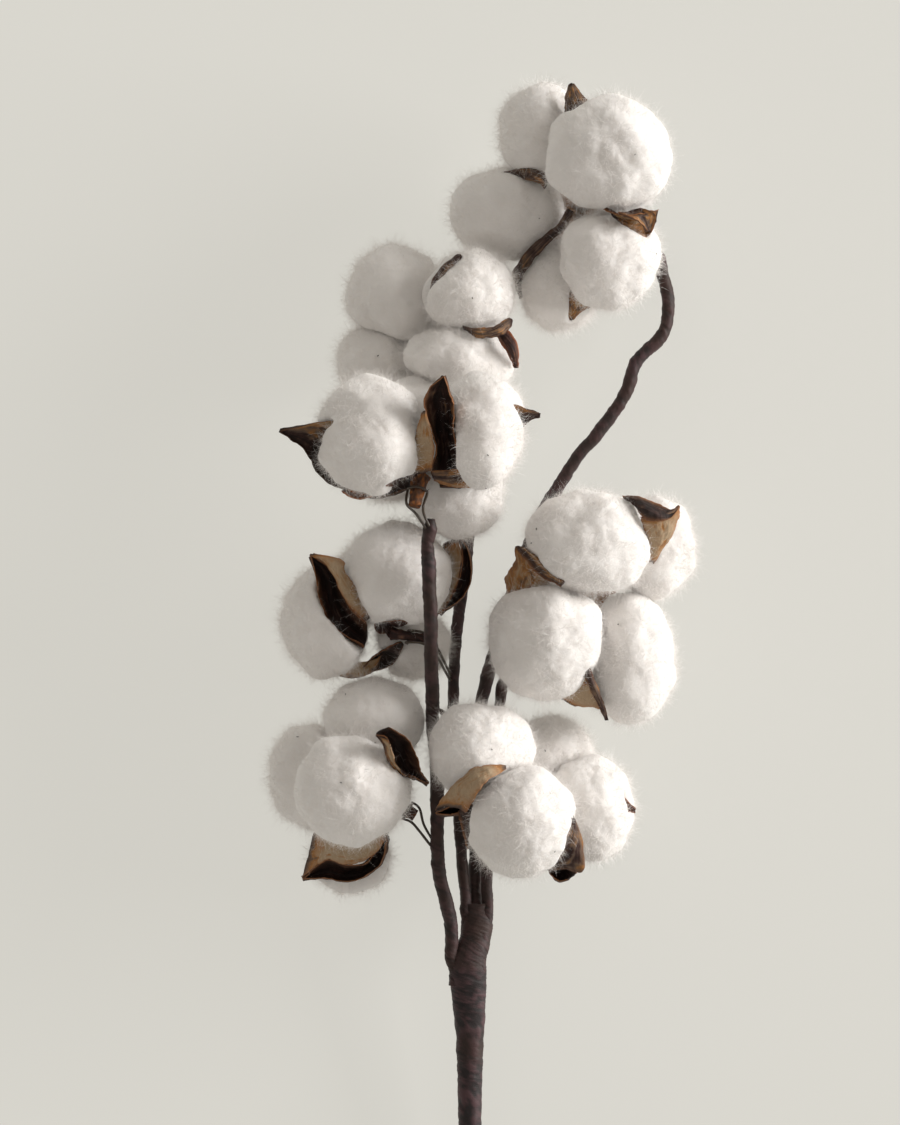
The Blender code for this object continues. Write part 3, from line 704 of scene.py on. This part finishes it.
     [(10, 205.5, 44), (13.5, 202.5, 48), (15, 198, 48), (15, 192.5, 44)],
     [(9, 204.5, 48), (12, 201, 51), (14, 197.5, 51), (14.5, 192.5, 45)],
     [(8.5, 203, 46), (10.5, 200, 49), (12.5, 196.5, 49), (14.5, 192.5, 44)]),
    ("grey",
     [(-2.5, 205.5, 48), (3, 204.5, 50), (8, 205.5, 50), (12.5, 208, 48)],
     [(-1.5, 204.5, 50), (4, 203, 52), (9, 204.5, 52), (13.5, 207.5, 48)],
     [(-0.5, 203.5, 49), (4.5, 202, 50), (10, 203, 50), (13, 206, 48)]),
    ],
}

# Tones: 0 dark brown, 1 tan; blotches are added to them before they are held between the two
TONES = {"dark": 0.0, "umber": 0.3, "grey": 0.38, "red": 0.15, "gold": 0.8, "tan": 1.12}
VALVE_ROWS = 64
VALVE_COLUMNS = 37
VALVE_WALL = 0.7
VALVE_ARCH = 0.8
EDGE_TEAR = 0.045
WRINKLE_HEIGHT = 0.13
WARP_HEIGHT = 0.35
STREAK_HEIGHT = 0.14
RIM_ROLL = 0.35

# Shares of a valve's width or length
ROLLED_WIDTH = 0.05
THINNED_WIDTH = 0.12
THINNEST = 0.25
# The painted orange highlight along a valve's rim: its width, and how much of it a grey valve keeps
RIM_HIGHLIGHT_WIDTH = 0.06
GREY_RIM_HIGHLIGHT = 0.3
DARK_END_LENGTH = 0.07
DARK_END_STRENGTH = 0.75
BACK_TONE = 0.1


def valve_sheet(tones, left, middle, right, seed):
    """One valve as places, faces and colour shares: a thin curved wall with a rim all round."""
    edge_a = smooth_points(left, VALVE_ROWS)
    spine = smooth_points(middle, VALVE_ROWS)
    edge_b = smooth_points(right, VALVE_ROWS)
    across = np.linspace(0.0, 1.0, VALVE_COLUMNS)
    along = np.linspace(0.0, 1.0, VALVE_ROWS)
    ragged = np.array([noise.fractal(Vector((u * 9.0, seed, 0.0)), 0.8, 2.0, 3) for u in along])
    edge_a = edge_a + (edge_a - edge_b) * (ragged * EDGE_TEAR)[:, None]
    edge_b = edge_b + (edge_b - edge_a) * (ragged[::-1] * EDGE_TEAR)[:, None]
    bulge = spine - (edge_a + edge_b) / 2
    weights_a = (1 - across)[None, :, None]
    weights_b = across[None, :, None]
    arch = (4 * across * (1 - across))[None, :, None] ** VALVE_ARCH
    front = edge_a[:, None] * weights_a + edge_b[:, None] * weights_b + bulge[:, None] * arch
    normal = np.cross(np.gradient(front, axis=0), np.gradient(front, axis=1))
    normal /= lengths_of(normal) + TINY
    if normal[:, :, 2].mean() < 0:
        normal = -normal
    edge = np.minimum(across, 1 - across)[None, :] * np.ones((VALVE_ROWS, 1))
    offset = Vector((seed * 5.1, seed * 2.3, seed * 0.7))
    wrinkle = noise_at(front * (1.0, 0.45, 1.0), 1.3, 3, offset)
    warp = noise_at(front, 4.5, 2, offset * 1.3)
    streak = np.array(
        [
            [noise.fractal(Vector((v * 9.0, u * 2.2, seed * 4.0)), 0.7, 2.0, 3) for v in across]
            for u in along
        ]
    )
    lift = wrinkle * WRINKLE_HEIGHT + warp * WARP_HEIGHT + streak * STREAK_HEIGHT
    lift = lift + RIM_ROLL * np.exp(-edge / ROLLED_WIDTH)
    front = front + normal * lift[:, :, None]
    thin = np.clip(edge / THINNED_WIDTH, THINNEST, 1.0) * VALVE_WALL
    back = front - normal * thin[:, :, None]
    places = np.concatenate([front.reshape(-1, 3), back.reshape(-1, 3)])

    size = VALVE_ROWS * VALVE_COLUMNS
    grid = np.arange(size).reshape(VALVE_ROWS, VALVE_COLUMNS)
    quads = np.stack([grid[:-1, :-1], grid[:-1, 1:], grid[1:, 1:], grid[1:, :-1]], axis=-1)
    top = quads.reshape(-1, 4)
    border = np.concatenate([grid[0], grid[1:, -1], grid[-1, -2::-1], grid[-2:0:-1, 0]])
    following = np.roll(border, -1)
    rim_faces = np.stack([following, border, border + size, following + size], axis=-1)
    faces = np.concatenate([top, top[:, ::-1] + size, rim_faces])

    shades = [TONES[tone] for tone in tones.split()]
    tone = np.interp(across, np.linspace(0.0, 1.0, len(shades)), shades)[None, :] + np.zeros_like(edge)
    tone = np.clip(tone + warp * 0.3 + wrinkle * 0.15 + streak * 0.35, 0, 1)
    ends = np.minimum(along, 1 - along)[:, None]
    tone = tone * (1.0 - DARK_END_STRENGTH * np.exp(-ends / DARK_END_LENGTH))
    # Painted orange highlight along the valve's rim, weaker on grey valves
    rim = np.exp(-edge / RIM_HIGHLIGHT_WIDTH) * (0.85 + 0.5 * streak)
    rim = rim * (GREY_RIM_HIGHLIGHT if "grey" in tones else 1.0)
    red = np.full(edge.shape, 1.0 if "red" in tones else 0.0)
    front_shares = np.stack([tone, rim, red], axis=-1).reshape(-1, 3)
    back_shares = np.stack([tone * BACK_TONE, rim, red], axis=-1).reshape(-1, 3)
    return places, faces, np.concatenate([front_shares, back_shares])


def burr_material():
    kit = Nodes("dry_burr")
    tone, rim_highlight_share, red_share = kit.split(kit.shares())
    fibre = kit.noise(kit.place((1.0, 0.35, 1.0)), 1500.0, 6.0, 0.7, 0.8)
    blotch = kit.noise(kit.place(), 260.0, 4.0, 0.6)
    blotched = kit.math("MULTIPLY_ADD", blotch, 0.35, tone)
    face = kit.ramp(
        kit.math("SUBTRACT", blotched, 0.17),
        (0.0, rgb(34, 20, 16)),
        (0.25, rgb(58, 34, 28)),
        (0.45, rgb(98, 80, 68)),
        (0.6, rgb(126, 97, 70)),
        (0.75, rgb(166, 114, 60)),
        (1.0, rgb(178, 155, 126)),
    )
    # The rim share mixes in a painted orange highlight along the valve and cup rims
    rim_highlighted = kit.mix("MIX", kit.math("MULTIPLY", rim_highlight_share, 0.85), face, rgb(164, 110, 68))
    reddened = kit.mix("MULTIPLY", red_share, rim_highlighted, (1.0, 0.72, 0.62, 1.0))
    grain = kit.ramp(fibre, (0.3, (0.55, 0.5, 0.48, 1.0)), (0.65, WHITE))
    kit.bump(fibre, 0.7, 0.0003)
    colour = kit.mix("MULTIPLY", 0.6, reddened, grain)
    kit.set(Base_Color=colour, Roughness=0.68, Specular_IOR_Level=0.35)
    return kit.material


# Each boll: heart (where its locks meet), root (outside of the receptacle), stub (free end of the
# stub), the widest angle to which its cup spreads, in degrees, how thick its stub is, and its
# stub's tone
CUPS = {
    "boll_top": ((31, 244.5, 24), (40, 243, 9), (47, 238.5, 5), 78, 1.0, 0.35),
    "boll_upper_back": ((-11, 205, 23), (-3.5, 204.5, 10), (-4, 196.5, 5), 78, 1.0, 0.35),
    "boll_upper_front": ((-14.5, 168, 46), (-16, 157, 57), (-17.5, 148.5, 62), 25, 0.95, 0.55),
    "boll_mid_left": ((-31.5, 114.5, 24), (-25, 107.5, 36), (-14.5, 106, 37), 20, 0.62, 0.15),
    "boll_mid_right": ((40, 118.5, 26), (33, 117, 12), (30, 108.5, 6), 78, 1.0, 0.35),
    "boll_low_left": ((-38, 56, 25), (-22.5, 52, 21), (-17.5, 49, 21), 40, 0.9, 0.35),
    "boll_low_right": ((20.5, 57.5, 31), (18.5, 51, 17), (15, 43.5, 12), 62, 1.0, 0.35),
}
CUP_ROWS = 30
CUP_COLUMNS = 96
CUP_NOTCH = 20.0
CUP_WALL = 0.9
CUP_CLEARANCE = 0.7
CUP_RELAX_ROUNDS = 14
# Width of the painted orange highlight at the cup's free edge, as a share of its rows
CUP_RIM_HIGHLIGHT_WIDTH = 0.05
CUP_RIB_HEIGHT = 0.12
HOLLOW_SHARE = 0.55
BOTTOM_SHARE = 0.3
BOTTOM_DEPTH = 1.0
FAR_OUT = 60.0
STUB_ROWS = 12
STUB_RADII = (2.7, 2.1)
STUB_RIB_HEIGHT = 0.14
STUB_FOOT_FLARE = 0.8


def cup_radius(locks, heart, ways, rows, core):
    """Distance from the heart to just outside the locks along each way, relaxed to a bowl."""
    tree = cad_tree(locks)
    start = Vector(heart)
    radius = np.full(ways.shape[:2], core * HOLLOW_SHARE)
    for i in range(CUP_ROWS):
        for j in range(CUP_COLUMNS):
            way = Vector(ways[i, j])
            hit = tree.ray_cast(start + way * FAR_OUT, -way)
            if hit[0] is not None:
                radius[i, j] = max(radius[i, j], FAR_OUT - hit[3] + CUP_CLEARANCE)
    fixed = radius.copy()
    for _ in range(CUP_RELAX_ROUNDS):
        padded = np.pad(radius, ((1, 1), (0, 0)), mode="edge")
        beside = np.roll(radius, 1, axis=1) + np.roll(radius, -1, axis=1)
        radius = np.maximum(fixed, (beside + padded[:-2] + padded[2:]) / 4)
    return np.where(rows[:, None] < BOTTOM_SHARE, np.maximum(radius, core - BOTTOM_DEPTH), radius)


def make_stub(foot, stub, across, girth, stub_tone, offset):
    """The short ribbed stub below the receptacle, with a rough end."""
    turn = full_turn(CUP_COLUMNS)
    share = np.linspace(0.0, 1.0, STUB_ROWS)
    centres = foot + (stub - foot) * share[:, None]
    way = unit(stub - foot)
    flat_x = unit(across - way * across.dot(way))
    flat_y = np.cross(way, flat_x)
    ring = ring_ways(flat_x, flat_y, turn)
    thick = STUB_RADII[0] + (STUB_RADII[1] - STUB_RADII[0]) * share**0.6
    thick = thick[:, None] + np.cos(turn * 5)[None, :] * STUB_RIB_HEIGHT
    thick = (thick + STUB_FOOT_FLARE * (1 - share[:, None]) ** 4) * girth
    places = centres[:, None] + ring[None] * thick[:, :, None]
    rough = noise_at(places, 1.4, 3, offset)
    places = places + ring[None] * (rough * 0.25)[:, :, None]
    end = np.repeat(stub[None, None], CUP_COLUMNS, axis=1) + rough[-1][None, :, None] * way * 0.3
    tone = np.concatenate([stub_tone + rough * 0.4, np.full((1, CUP_COLUMNS), 0.7)])
    return grid_part(np.concatenate([places, end]), tone, 0.0, 0.8)


def make_cup(boll, seed):
    """The receptacle with the lower part of its valves, and its stub."""
    heart, root, stub, spread, girth, stub_tone = CUPS[boll]
    heart, root, stub = [np.array(p, float) + SHIFT for p in (heart, root, stub)]
    base = unit(root - heart)
    across = unit(np.cross(base, (0.31, 0.12, 0.94)))
    along = np.cross(base, across)
    locks = [name for name in LOCK_NODES if name.startswith(boll + "_lock")]
    turn = full_turn(CUP_COLUMNS)
    sway = np.sin(turn * 3 + seed) * 0.25
    lobe = np.abs(np.cos((turn + sway) * len(locks) / 2 + seed * 0.7)) ** 0.75
    outline = np.radians(CUP_NOTCH + (spread - CUP_NOTCH) * lobe)
    rows = np.linspace(0.06, 1.0, CUP_ROWS)
    falls = rows[:, None] * outline[None, :]
    side = ring_ways(across, along, turn)
    ways = base * np.cos(falls)[:, :, None] + side[None] * np.sin(falls)[:, :, None]
    radius = cup_radius(locks, heart, ways, rows, np.linalg.norm(root - heart))
    bowl = heart + ways * radius[:, :, None]
    offset = Vector((seed * 2.9, seed * 1.9, 0.4))
    wrinkle = noise_at(bowl, 1.8, 3, offset)
    warp = noise_at(bowl, 6.0, 2, offset)
    ribs = np.cos((turn * len(locks) * 3))[None, :] * CUP_RIB_HEIGHT
    outer = radius + CUP_WALL + wrinkle * 0.16 + warp * 0.3 + ribs
    lowest = (FLOOR_GAP + np.zeros_like(outer) - heart[2]) / np.minimum(ways[:, :, 2], -LEAST_FACING)
    outer = np.minimum(outer, lowest)
    inner = outer - CUP_WALL * np.clip((1.0 - rows[:, None]) * 6, 0.35, 1.0)
    shell = np.concatenate([outer, inner[::-1]])
    places = heart + np.concatenate([ways, ways[::-1]]) * shell[:, :, None]
    tone = np.concatenate([0.22 + warp * 0.3, 0.9 + warp[::-1] * 0.2])
    # Painted orange highlight at the cup's free edge, inside and out
    rim = np.exp(-(1.0 - rows) / CUP_RIM_HIGHLIGHT_WIDTH)[:, None] + np.zeros_like(outer)
    cup = grid_part(places, tone, np.concatenate([rim, rim[::-1]]), 0.35)
    foot = heart + base * (outer[0].mean() - 0.4)
    return [cup, make_stub(foot, stub, across, girth, stub_tone, offset)]


def make_burrs(material):
    """Makes each burr's shell and gives a search tree of each, to press the cotton against."""
    trees = {}
    for number, (boll, valves) in enumerate(VALVES.items()):
        parts = make_cup(boll, number + 1)
        for order, (tones, left, middle, right) in enumerate(valves):
            places, faces, shares = valve_sheet(tones, left, middle, right, number * 10 + order + 1)
            parts.append((places + SHIFT, faces, shares))
        places, faces = piece_from_parts(f"{boll}_shell", parts, material, "burr", f"{boll}_burr")
        trees[boll] = BVHTree.FromPolygons(places.tolist(), faces.tolist())
    return trees


# ==== Branches, tape and wire ====

BRANCHES = {
    "branch_left": [
        (-4.7, -6, 16), (-4.9, 0, 16.5), (-6, 5, 17), (-6.5, 16, 18.5), (-9.5, 28.5, 20),
        (-10.5, 39, 22), (-10.5, 51, 24), (-11, 70, 27), (-12, 80, 34), (-12, 90, 42),
        (-12.5, 110, 53), (-13, 126, 55.5), (-13.5, 136.5, 56.5), (-12.5, 143.5, 57.5),
    ],
    "branch_back": [
        (-1.6, -6, 14.9), (-1.2, 3, 14.9), (-0.7, 14, 14.2), (-1.3, 18, 13.8), (-2, 28.5, 11),
        (-4, 57, 9.5), (-5.5, 86, 14), (-4, 109.5, 17), (-3, 117.5, 16), (-0.5, 136.5, 13),
        (0, 144, 11.5), (-2, 160.5, 8), (-4, 176, 5.5), (-4.5, 188, 5.5),
    ],
    "branch_tall": [
        (0.9, -6, 14.7), (1.3, 3, 14.5), (2.2, 14, 12.4), (2.1, 18, 11.4), (1.5, 28, 7.5),
        (2.5, 57, 5.5), (3.5, 83, 5.5), (8, 101.5, 7), (13, 118.5, 9), (19.5, 136.5, 10),
        (23.5, 146.5, 11), (34, 163.5, 13), (42, 173, 14), (50, 184.5, 14), (54, 195.5, 14),
        (62.5, 204.5, 13), (64, 215.5, 11), (62, 225, 9), (60.5, 231, 8),
    ],
    "branch_right": [
        (3.1, -6, 16.4), (3.4, 3, 16.2), (5.3, 14, 14.4), (5.7, 18, 13.9), (5.5, 28, 11),
        (7, 57, 6.5), (9.5, 81.5, 5.5), (11, 92, 5.5), (17, 95.5, 6.5), (25, 98, 6),
    ],
}
BRANCH_RADII = {"branch_left": 2.15, "branch_back": 1.8, "branch_tall": 2.0, "branch_right": 1.8}
BRANCH_BROWN = 1.0
BRANCH_WANDER = 0.45
BRANCH_KNOTS = 0.1
TOP_TAPER_STEPS = 9.0
TOP_TAPER_SHARE = 0.62
TAPE_RELIEF = 0.7

# The bound stem: centre, half width and half height of the tape's outside
BOUND_STEM = [
    ((2, -214.6, 3.7), 3.5, 3.5),
    ((1, -160, 4.6), 3.5, 3.5),
    ((0.3, -100, 7.2), 3.55, 3.5),
    ((0, -50, 10.8), 3.7, 3.6),
    ((0, -23, 13.4), 4.5, 3.8),
    ((-0.5, -4, 15.6), 5.9, 4.2),
    ((-0.3, 2.5, 15.8), 5.6, 4.0),
    ((1.7, 8, 14.6), 4.9, 3.8),
    ((2.3, 14, 13.4), 5.0, 3.9),
    ((2.4, 19, 12.6), 4.6, 3.3),
]
STEM_PITCH = 11.0

# The stem turns from plum to brown between these two places along Y
STEM_BROWN_FROM_TO = (-1.5, 0.5)
STEM_BROWNS = (0.1, 1.2)

TAPE_STEP = 0.55
TAPE_SIDES = 40
TAPE_PITCH = 7.5
TAPE_LAP = 0.16
TAPE_WRINKLE = 0.16
TAPE_DENT = 0.22
# Widths of the painted shade at each lap's edge and, half as dark, at its foot, as shares of a lap
LAP_SHADE_WIDTH = 0.05
LAP_FOOT_SHADE_WIDTH = 0.03
CAP_SHARE = 0.55


def carried_frames(centres):
    """Across and along vectors at each point of a centreline, turning as little as they can."""
    ways = np.gradient(centres, axis=0)
    ways /= lengths_of(ways)
    side = unit(np.cross(ways[0], (0.0, 0.0, 1.0)))
    sides = []
    for way in ways:
        side = unit(side - way * side.dot(way))
        sides.append(side)
    sides = np.array(sides)
    return ways, sides, np.cross(sides, ways)


def with_ends(rows):
    """Rows with two more like the first and two more like the last, for a tube's closed ends."""
    return np.concatenate([rows[:1], rows[:1], rows, rows[-1:], rows[-1:]])


def close_tube(places, ways):
    """A tube's rings with a smaller ring and a middle point added at both ends."""
    caps = []
    for row, way in ((places[0], -ways[0]), (places[-1], ways[-1])):
        middle = row.mean(axis=0)
        inner = middle + (row - middle) * CAP_SHARE + way * 0.15
        point = np.repeat((middle + way * 0.1)[None], TAPE_SIDES, axis=0)
        caps.append((inner[None], point[None]))
    (first, first_point), (last, last_point) = caps
    return np.concatenate([first_point, first, places, last, last_point])


def wrapped_tube(centres, half_width, half_height, seed, brownness, pitch=TAPE_PITCH):
    """A stem wound with crepe tape: laps in a spiral, cross wrinkles, dents, and closed ends."""
    ways, sides, rises = carried_frames(centres)
    length = np.concatenate([[0.0], np.cumsum(np.linalg.norm(np.diff(centres, axis=0), axis=1))])
    turn = full_turn(TAPE_SIDES)
    drift = np.array([noise.noise(Vector((at / 14.0, seed, 0.0))) for at in length])
    phase = (length / pitch + drift * 0.6)[:, None] - turn[None, :] / math.tau
    share = phase % 1.0
    # Painted shade along each lap's edge and at its foot
    edge = np.exp(-((1.0 - share) / LAP_SHADE_WIDTH)) + np.exp(-share / LAP_FOOT_SHADE_WIDTH) * 0.5
    ring = sides[:, None] * (np.cos(turn)[None, :, None] * half_width[:, None, None])
    ring = ring + rises[:, None] * (np.sin(turn)[None, :, None] * half_height[:, None, None])
    out = ring / lengths_of(ring)
    offset = Vector((seed * 1.7, seed * 0.9, 2.0))
    wound = (phase * pitch).ravel() * 0.9
    round_it = (turn[None, :] * half_width[:, None]).ravel() * 0.28
    wrinkle = np.array(
        [noise.fractal(Vector((u, v, seed * 3.0)), 0.8, 2.0, 3) for u, v in zip(wound, round_it)]
    ).reshape(share.shape)
    dent = noise_at(centres[:, None] + ring, 4.0, 2, offset)
    lift = TAPE_LAP * share**3 + wrinkle * TAPE_WRINKLE + dent * TAPE_DENT
    places = centres[:, None] + ring + out * lift[:, :, None]
    places[-1] += ways[-1] * (0.5 + 0.8 * np.abs(dent[-1]))[:, None]
    tone = np.clip(0.45 + dent * 0.7 + wrinkle * 0.6, 0, 1)
    brown = np.clip(drift * 1.6 + brownness, 0, 1.5)[:, None] + np.zeros_like(share)
    edge = np.clip(edge, 0, 1)
    return grid_part(close_tube(places, ways), with_ends(tone), with_ends(edge), with_ends(brown))


def tape_material():
    kit = Nodes("wound_tape")
    tone, lap_shade_share, brown_share = kit.split(kit.shares())
    crepe = kit.noise(kit.place((0.4, 1.0, 0.4)), 2600.0, 5.0, 0.65)
    patch = kit.noise(kit.place(), 150.0, 4.0, 0.6)
    plum = kit.ramp(tone, (0.2, rgb(28, 17, 18)), (0.85, rgb(74, 49, 52)))
    browned = kit.mix("MIX", kit.math("MULTIPLY", brown_share, patch), plum, rgb(50, 28, 18))
    # The lap share darkens the tape with painted shade along the lap edges
    colour = kit.mix("MULTIPLY", lap_shade_share, browned, (0.3, 0.26, 0.26, 1.0))
    kit.bump(crepe, 0.55, 0.0002)
    kit.set(Base_Color=colour, Roughness=0.62, Specular_IOR_Level=0.4, Sheen_Weight=0.1)
    return kit.material


def make_branches(tape):
    for seed, (name, route) in enumerate(BRANCHES.items(), start=1):
        route = np.array(route, float)
        centres = smooth_points(route, int(route_length(route) / TAPE_STEP)) + SHIFT
        steps = range(len(centres))
        wander = [
            [noise.noise(Vector((n / 22.0, seed, axis * 7.0))) * BRANCH_WANDER for n in steps]
            for axis in range(3)
        ]
        centres = centres + np.stack(wander, axis=1) * (1.0, 0.0, 0.6)
        full = BRANCH_RADII[name]
        knots = [noise.noise(Vector((n / 16.0, seed * 5.0, 3.0))) for n in steps]
        radius = full * (1.0 + BRANCH_KNOTS * np.array(knots))
        taper = np.clip((len(centres) - 1 - np.arange(len(centres))) / TOP_TAPER_STEPS, 0.0, 1.0)
        radius = radius * (TOP_TAPER_SHARE + (1.0 - TOP_TAPER_SHARE) * taper**0.5)
        floor = centres[:, 2] - (full + TAPE_RELIEF)
        centres[:, 2] += np.maximum(0.0, FLOOR_GAP - floor)
        part = wrapped_tube(centres, radius, radius, seed * 3, BRANCH_BROWN)
        piece_from_parts(f"{name}_tape", [part], tape, "tape", name)


def make_bound_stem(tape):
    centres = np.array([section[0] for section in BOUND_STEM], float)
    sizes = np.array([[*section[1:], 0.0] for section in BOUND_STEM])
    count = int(route_length(centres) / TAPE_STEP)
    path = smooth_points(centres, count) + SHIFT
    girth = smooth_points(sizes, count)
    brownness = np.interp(path[:, 1] - SHIFT[1], STEM_BROWN_FROM_TO, STEM_BROWNS)
    part = wrapped_tube(path, girth[:, 0], girth[:, 1], 20, brownness, pitch=STEM_PITCH)
    piece_from_parts("bound_stem_tape", [part], tape, "tape", "main_stem_tape", "upper_stem_tape")


# Each hairpin wire: where its legs end on a branch, a point on their way, and the side of the stub
# that it crosses
HAIRPINS = {
    "boll_top": ((59.7, 232.2, 7.8), (53, 236, 6.5), (0, 0, -1)),
    "boll_upper_back": ((-4.5, 189.2, 5.4), (-4.2, 193, 5.2), (0, 0, 1)),
    "boll_upper_front": ((-13.2, 141, 58.6), (-15.8, 145.5, 60), (0, 0, 1)),
    "boll_mid_left": ((-6.2, 93, 17), (-10.5, 101.5, 30), (0, -0.5, -0.8)),
    "boll_mid_right": ((26.2, 98.9, 6.0), (28.3, 103.5, 6.0), (0, 0, -1)),
    "boll_low_left": ((-12.2, 40, 22.5), (-15.5, 45, 21.8), (0, 0, 1)),
    "boll_low_right": ((9.0, 35.5, 10.5), (12, 39.5, 11.5), (0, 0, -1)),
}
WIRE_RADIUS = 0.42
WIRE_STEP = 0.45
WIRE_SIDES = 10
WIRE_ROUGHNESS = 0.12

# How near the wire passes to the stub, where along the stub it crosses, and how far apart its legs
# lie at their ends and halfway, from the middle
WIRE_CLEARANCE = 0.15
NECK_SHARE = 0.5
BEND_POINTS = 7
FOOT_SPREAD = 0.8
LEG_SPREAD = 1.3
STUB_END_SPREAD = 0.85


def plain_tube(points, radius, seed):
    """A round wire through points, with closed ends."""
    centres = smooth_points(points, max(12, int(route_length(points) / WIRE_STEP)))
    _, sides, rises = carried_frames(centres)
    ring = ring_ways(sides, rises, full_turn(WIRE_SIDES))
    rough = noise_at(centres, 2.0, 2, Vector((seed, 0.0, 0.0)))
    places = centres[:, None] + ring * (radius * (1.0 + WIRE_ROUGHNESS * rough))[:, None, None]
    first = np.repeat(centres[:1, None], WIRE_SIDES, axis=1)
    last = np.repeat(centres[-1:, None], WIRE_SIDES, axis=1)
    tone = np.concatenate([rough[:1], rough, rough[-1:]])[:, None] * np.ones(WIRE_SIDES)
    tone = np.clip(0.5 + tone * 0.5, 0, 1)
    return grid_part(np.concatenate([first, places, last]), tone, 0.0, 0.3)


def wire_material():
    kit = Nodes("florist_wire")
    colour = kit.ramp(kit.shares(), (0.0, rgb(52, 40, 32)), (1.0, rgb(118, 104, 84)))
    kit.set(Base_Color=colour, Roughness=0.42, Metallic=0.0, Specular_IOR_Level=0.6)
    return kit.material


def make_wires(material):
    for seed, (boll, (anchor, middle, crossing)) in enumerate(HAIRPINS.items()):
        _, root, stub, _, girth, _ = CUPS[boll]
        root, stub, foot, middle = [np.array(p, float) + SHIFT for p in (root, stub, anchor, middle)]
        axis = unit(stub - root)
        neck = root + (stub - root) * NECK_SHARE
        over = np.array(crossing, float)
        over = unit(over - axis * over.dot(axis))
        side = np.cross(axis, over)
        reach = STUB_RADII[0] * girth + WIRE_RADIUS + WIRE_CLEARANCE
        bend = [
            neck + (side * math.cos(turn) + over * math.sin(turn)) * reach
            for turn in np.linspace(0.0, math.pi, BEND_POINTS)
        ]
        stub_side = side * (reach * STUB_END_SPREAD)
        legs = [foot + side * FOOT_SPREAD, middle + side * LEG_SPREAD, stub + stub_side]
        back = [stub - stub_side, middle - side * LEG_SPREAD, foot - side * FOOT_SPREAD]
        points = np.array([*legs, *bend, *back])
        points[:, 2] = np.maximum(points[:, 2], FLOOR_GAP + WIRE_RADIUS * 1.3)
        part = plain_tube(points, WIRE_RADIUS, seed + 1.0)
        piece_from_parts(f"{boll}_hairpin", [part], material, "wire", f"{boll}_wire")


# ==== Floor, light and camera, in metres ====

FLOOR_REACH = 4.0
FLOOR_DROP = 0.0002
KEY_PLACE = (3.1, 0.9, 0.8)
KEY_TARGET = (0.0, 0.08, 0.03)
KEY_SIZE = (2.2, 1.2)
KEY_POWER = 142.0
KEY_COLOUR = (1.0, 0.985, 0.965)
SKY_COLOUR = (1.0, 0.952, 0.878, 1.0)
SKY_STRENGTH = 0.42


def make_floor():
    kit = Nodes("pale_floor")
    kit.set(Base_Color=(0.2, 0.197, 0.188, 1.0), Roughness=0.9, Specular_IOR_Level=0.1)
    kit.set(Emission_Color=(1.0, 0.98, 0.9, 1.0), Emission_Strength=0.555)
    corners = np.array([(-1, -1, 0), (1, -1, 0), (1, 1, 0), (-1, 1, 0)], float) * FLOOR_REACH
    mesh = mesh_from_arrays("floor", corners, np.array([(0, 1, 2, 3)]), smooth=False)
    mesh.materials.append(kit.material)
    floor = bpy.data.objects.new("floor", mesh)
    bpy.context.scene.collection.objects.link(floor)
    floor.location.z = -FLOOR_DROP


def make_lights():
    world = bpy.data.worlds.new("studio")
    bpy.context.scene.world = world
    world.use_nodes = True
    background = world.node_tree.nodes["Background"]
    background.inputs["Color"].default_value = SKY_COLOUR
    background.inputs["Strength"].default_value = SKY_STRENGTH
    data = bpy.data.lights.new("key", "AREA")
    data.shape = "RECTANGLE"
    data.size, data.size_y = KEY_SIZE
    data.energy = KEY_POWER
    data.color = KEY_COLOUR
    light = bpy.data.objects.new("key", data)
    bpy.context.scene.collection.objects.link(light)
    light.location = KEY_PLACE
    aim = Vector(KEY_TARGET) - Vector(KEY_PLACE)
    light.rotation_euler = aim.to_track_quat("-Z", "Y").to_euler()


def make_camera():
    data = bpy.data.cameras.new("camera")
    data.sensor_fit = "VERTICAL"
    data.sensor_height = SENSOR
    data.lens = SENSOR * (CAMERA_HEIGHT - MIDDLE_HEIGHT) / VIEW_HEIGHT
    data.clip_end = 50.0
    camera = bpy.data.objects.new("camera", data)
    bpy.context.scene.collection.objects.link(camera)
    camera.location = to_world((*VIEW_CENTRE, CAMERA_HEIGHT))
    bpy.context.scene.camera = camera


make_floor()
make_lights()
make_camera()
BURR = burr_material()
make_cotton(make_burrs(BURR), BURR)
TAPE = tape_material()
make_branches(TAPE)
make_bound_stem(TAPE)
make_wires(wire_material())
bpy.context.scene.view_settings.view_transform = "Standard"
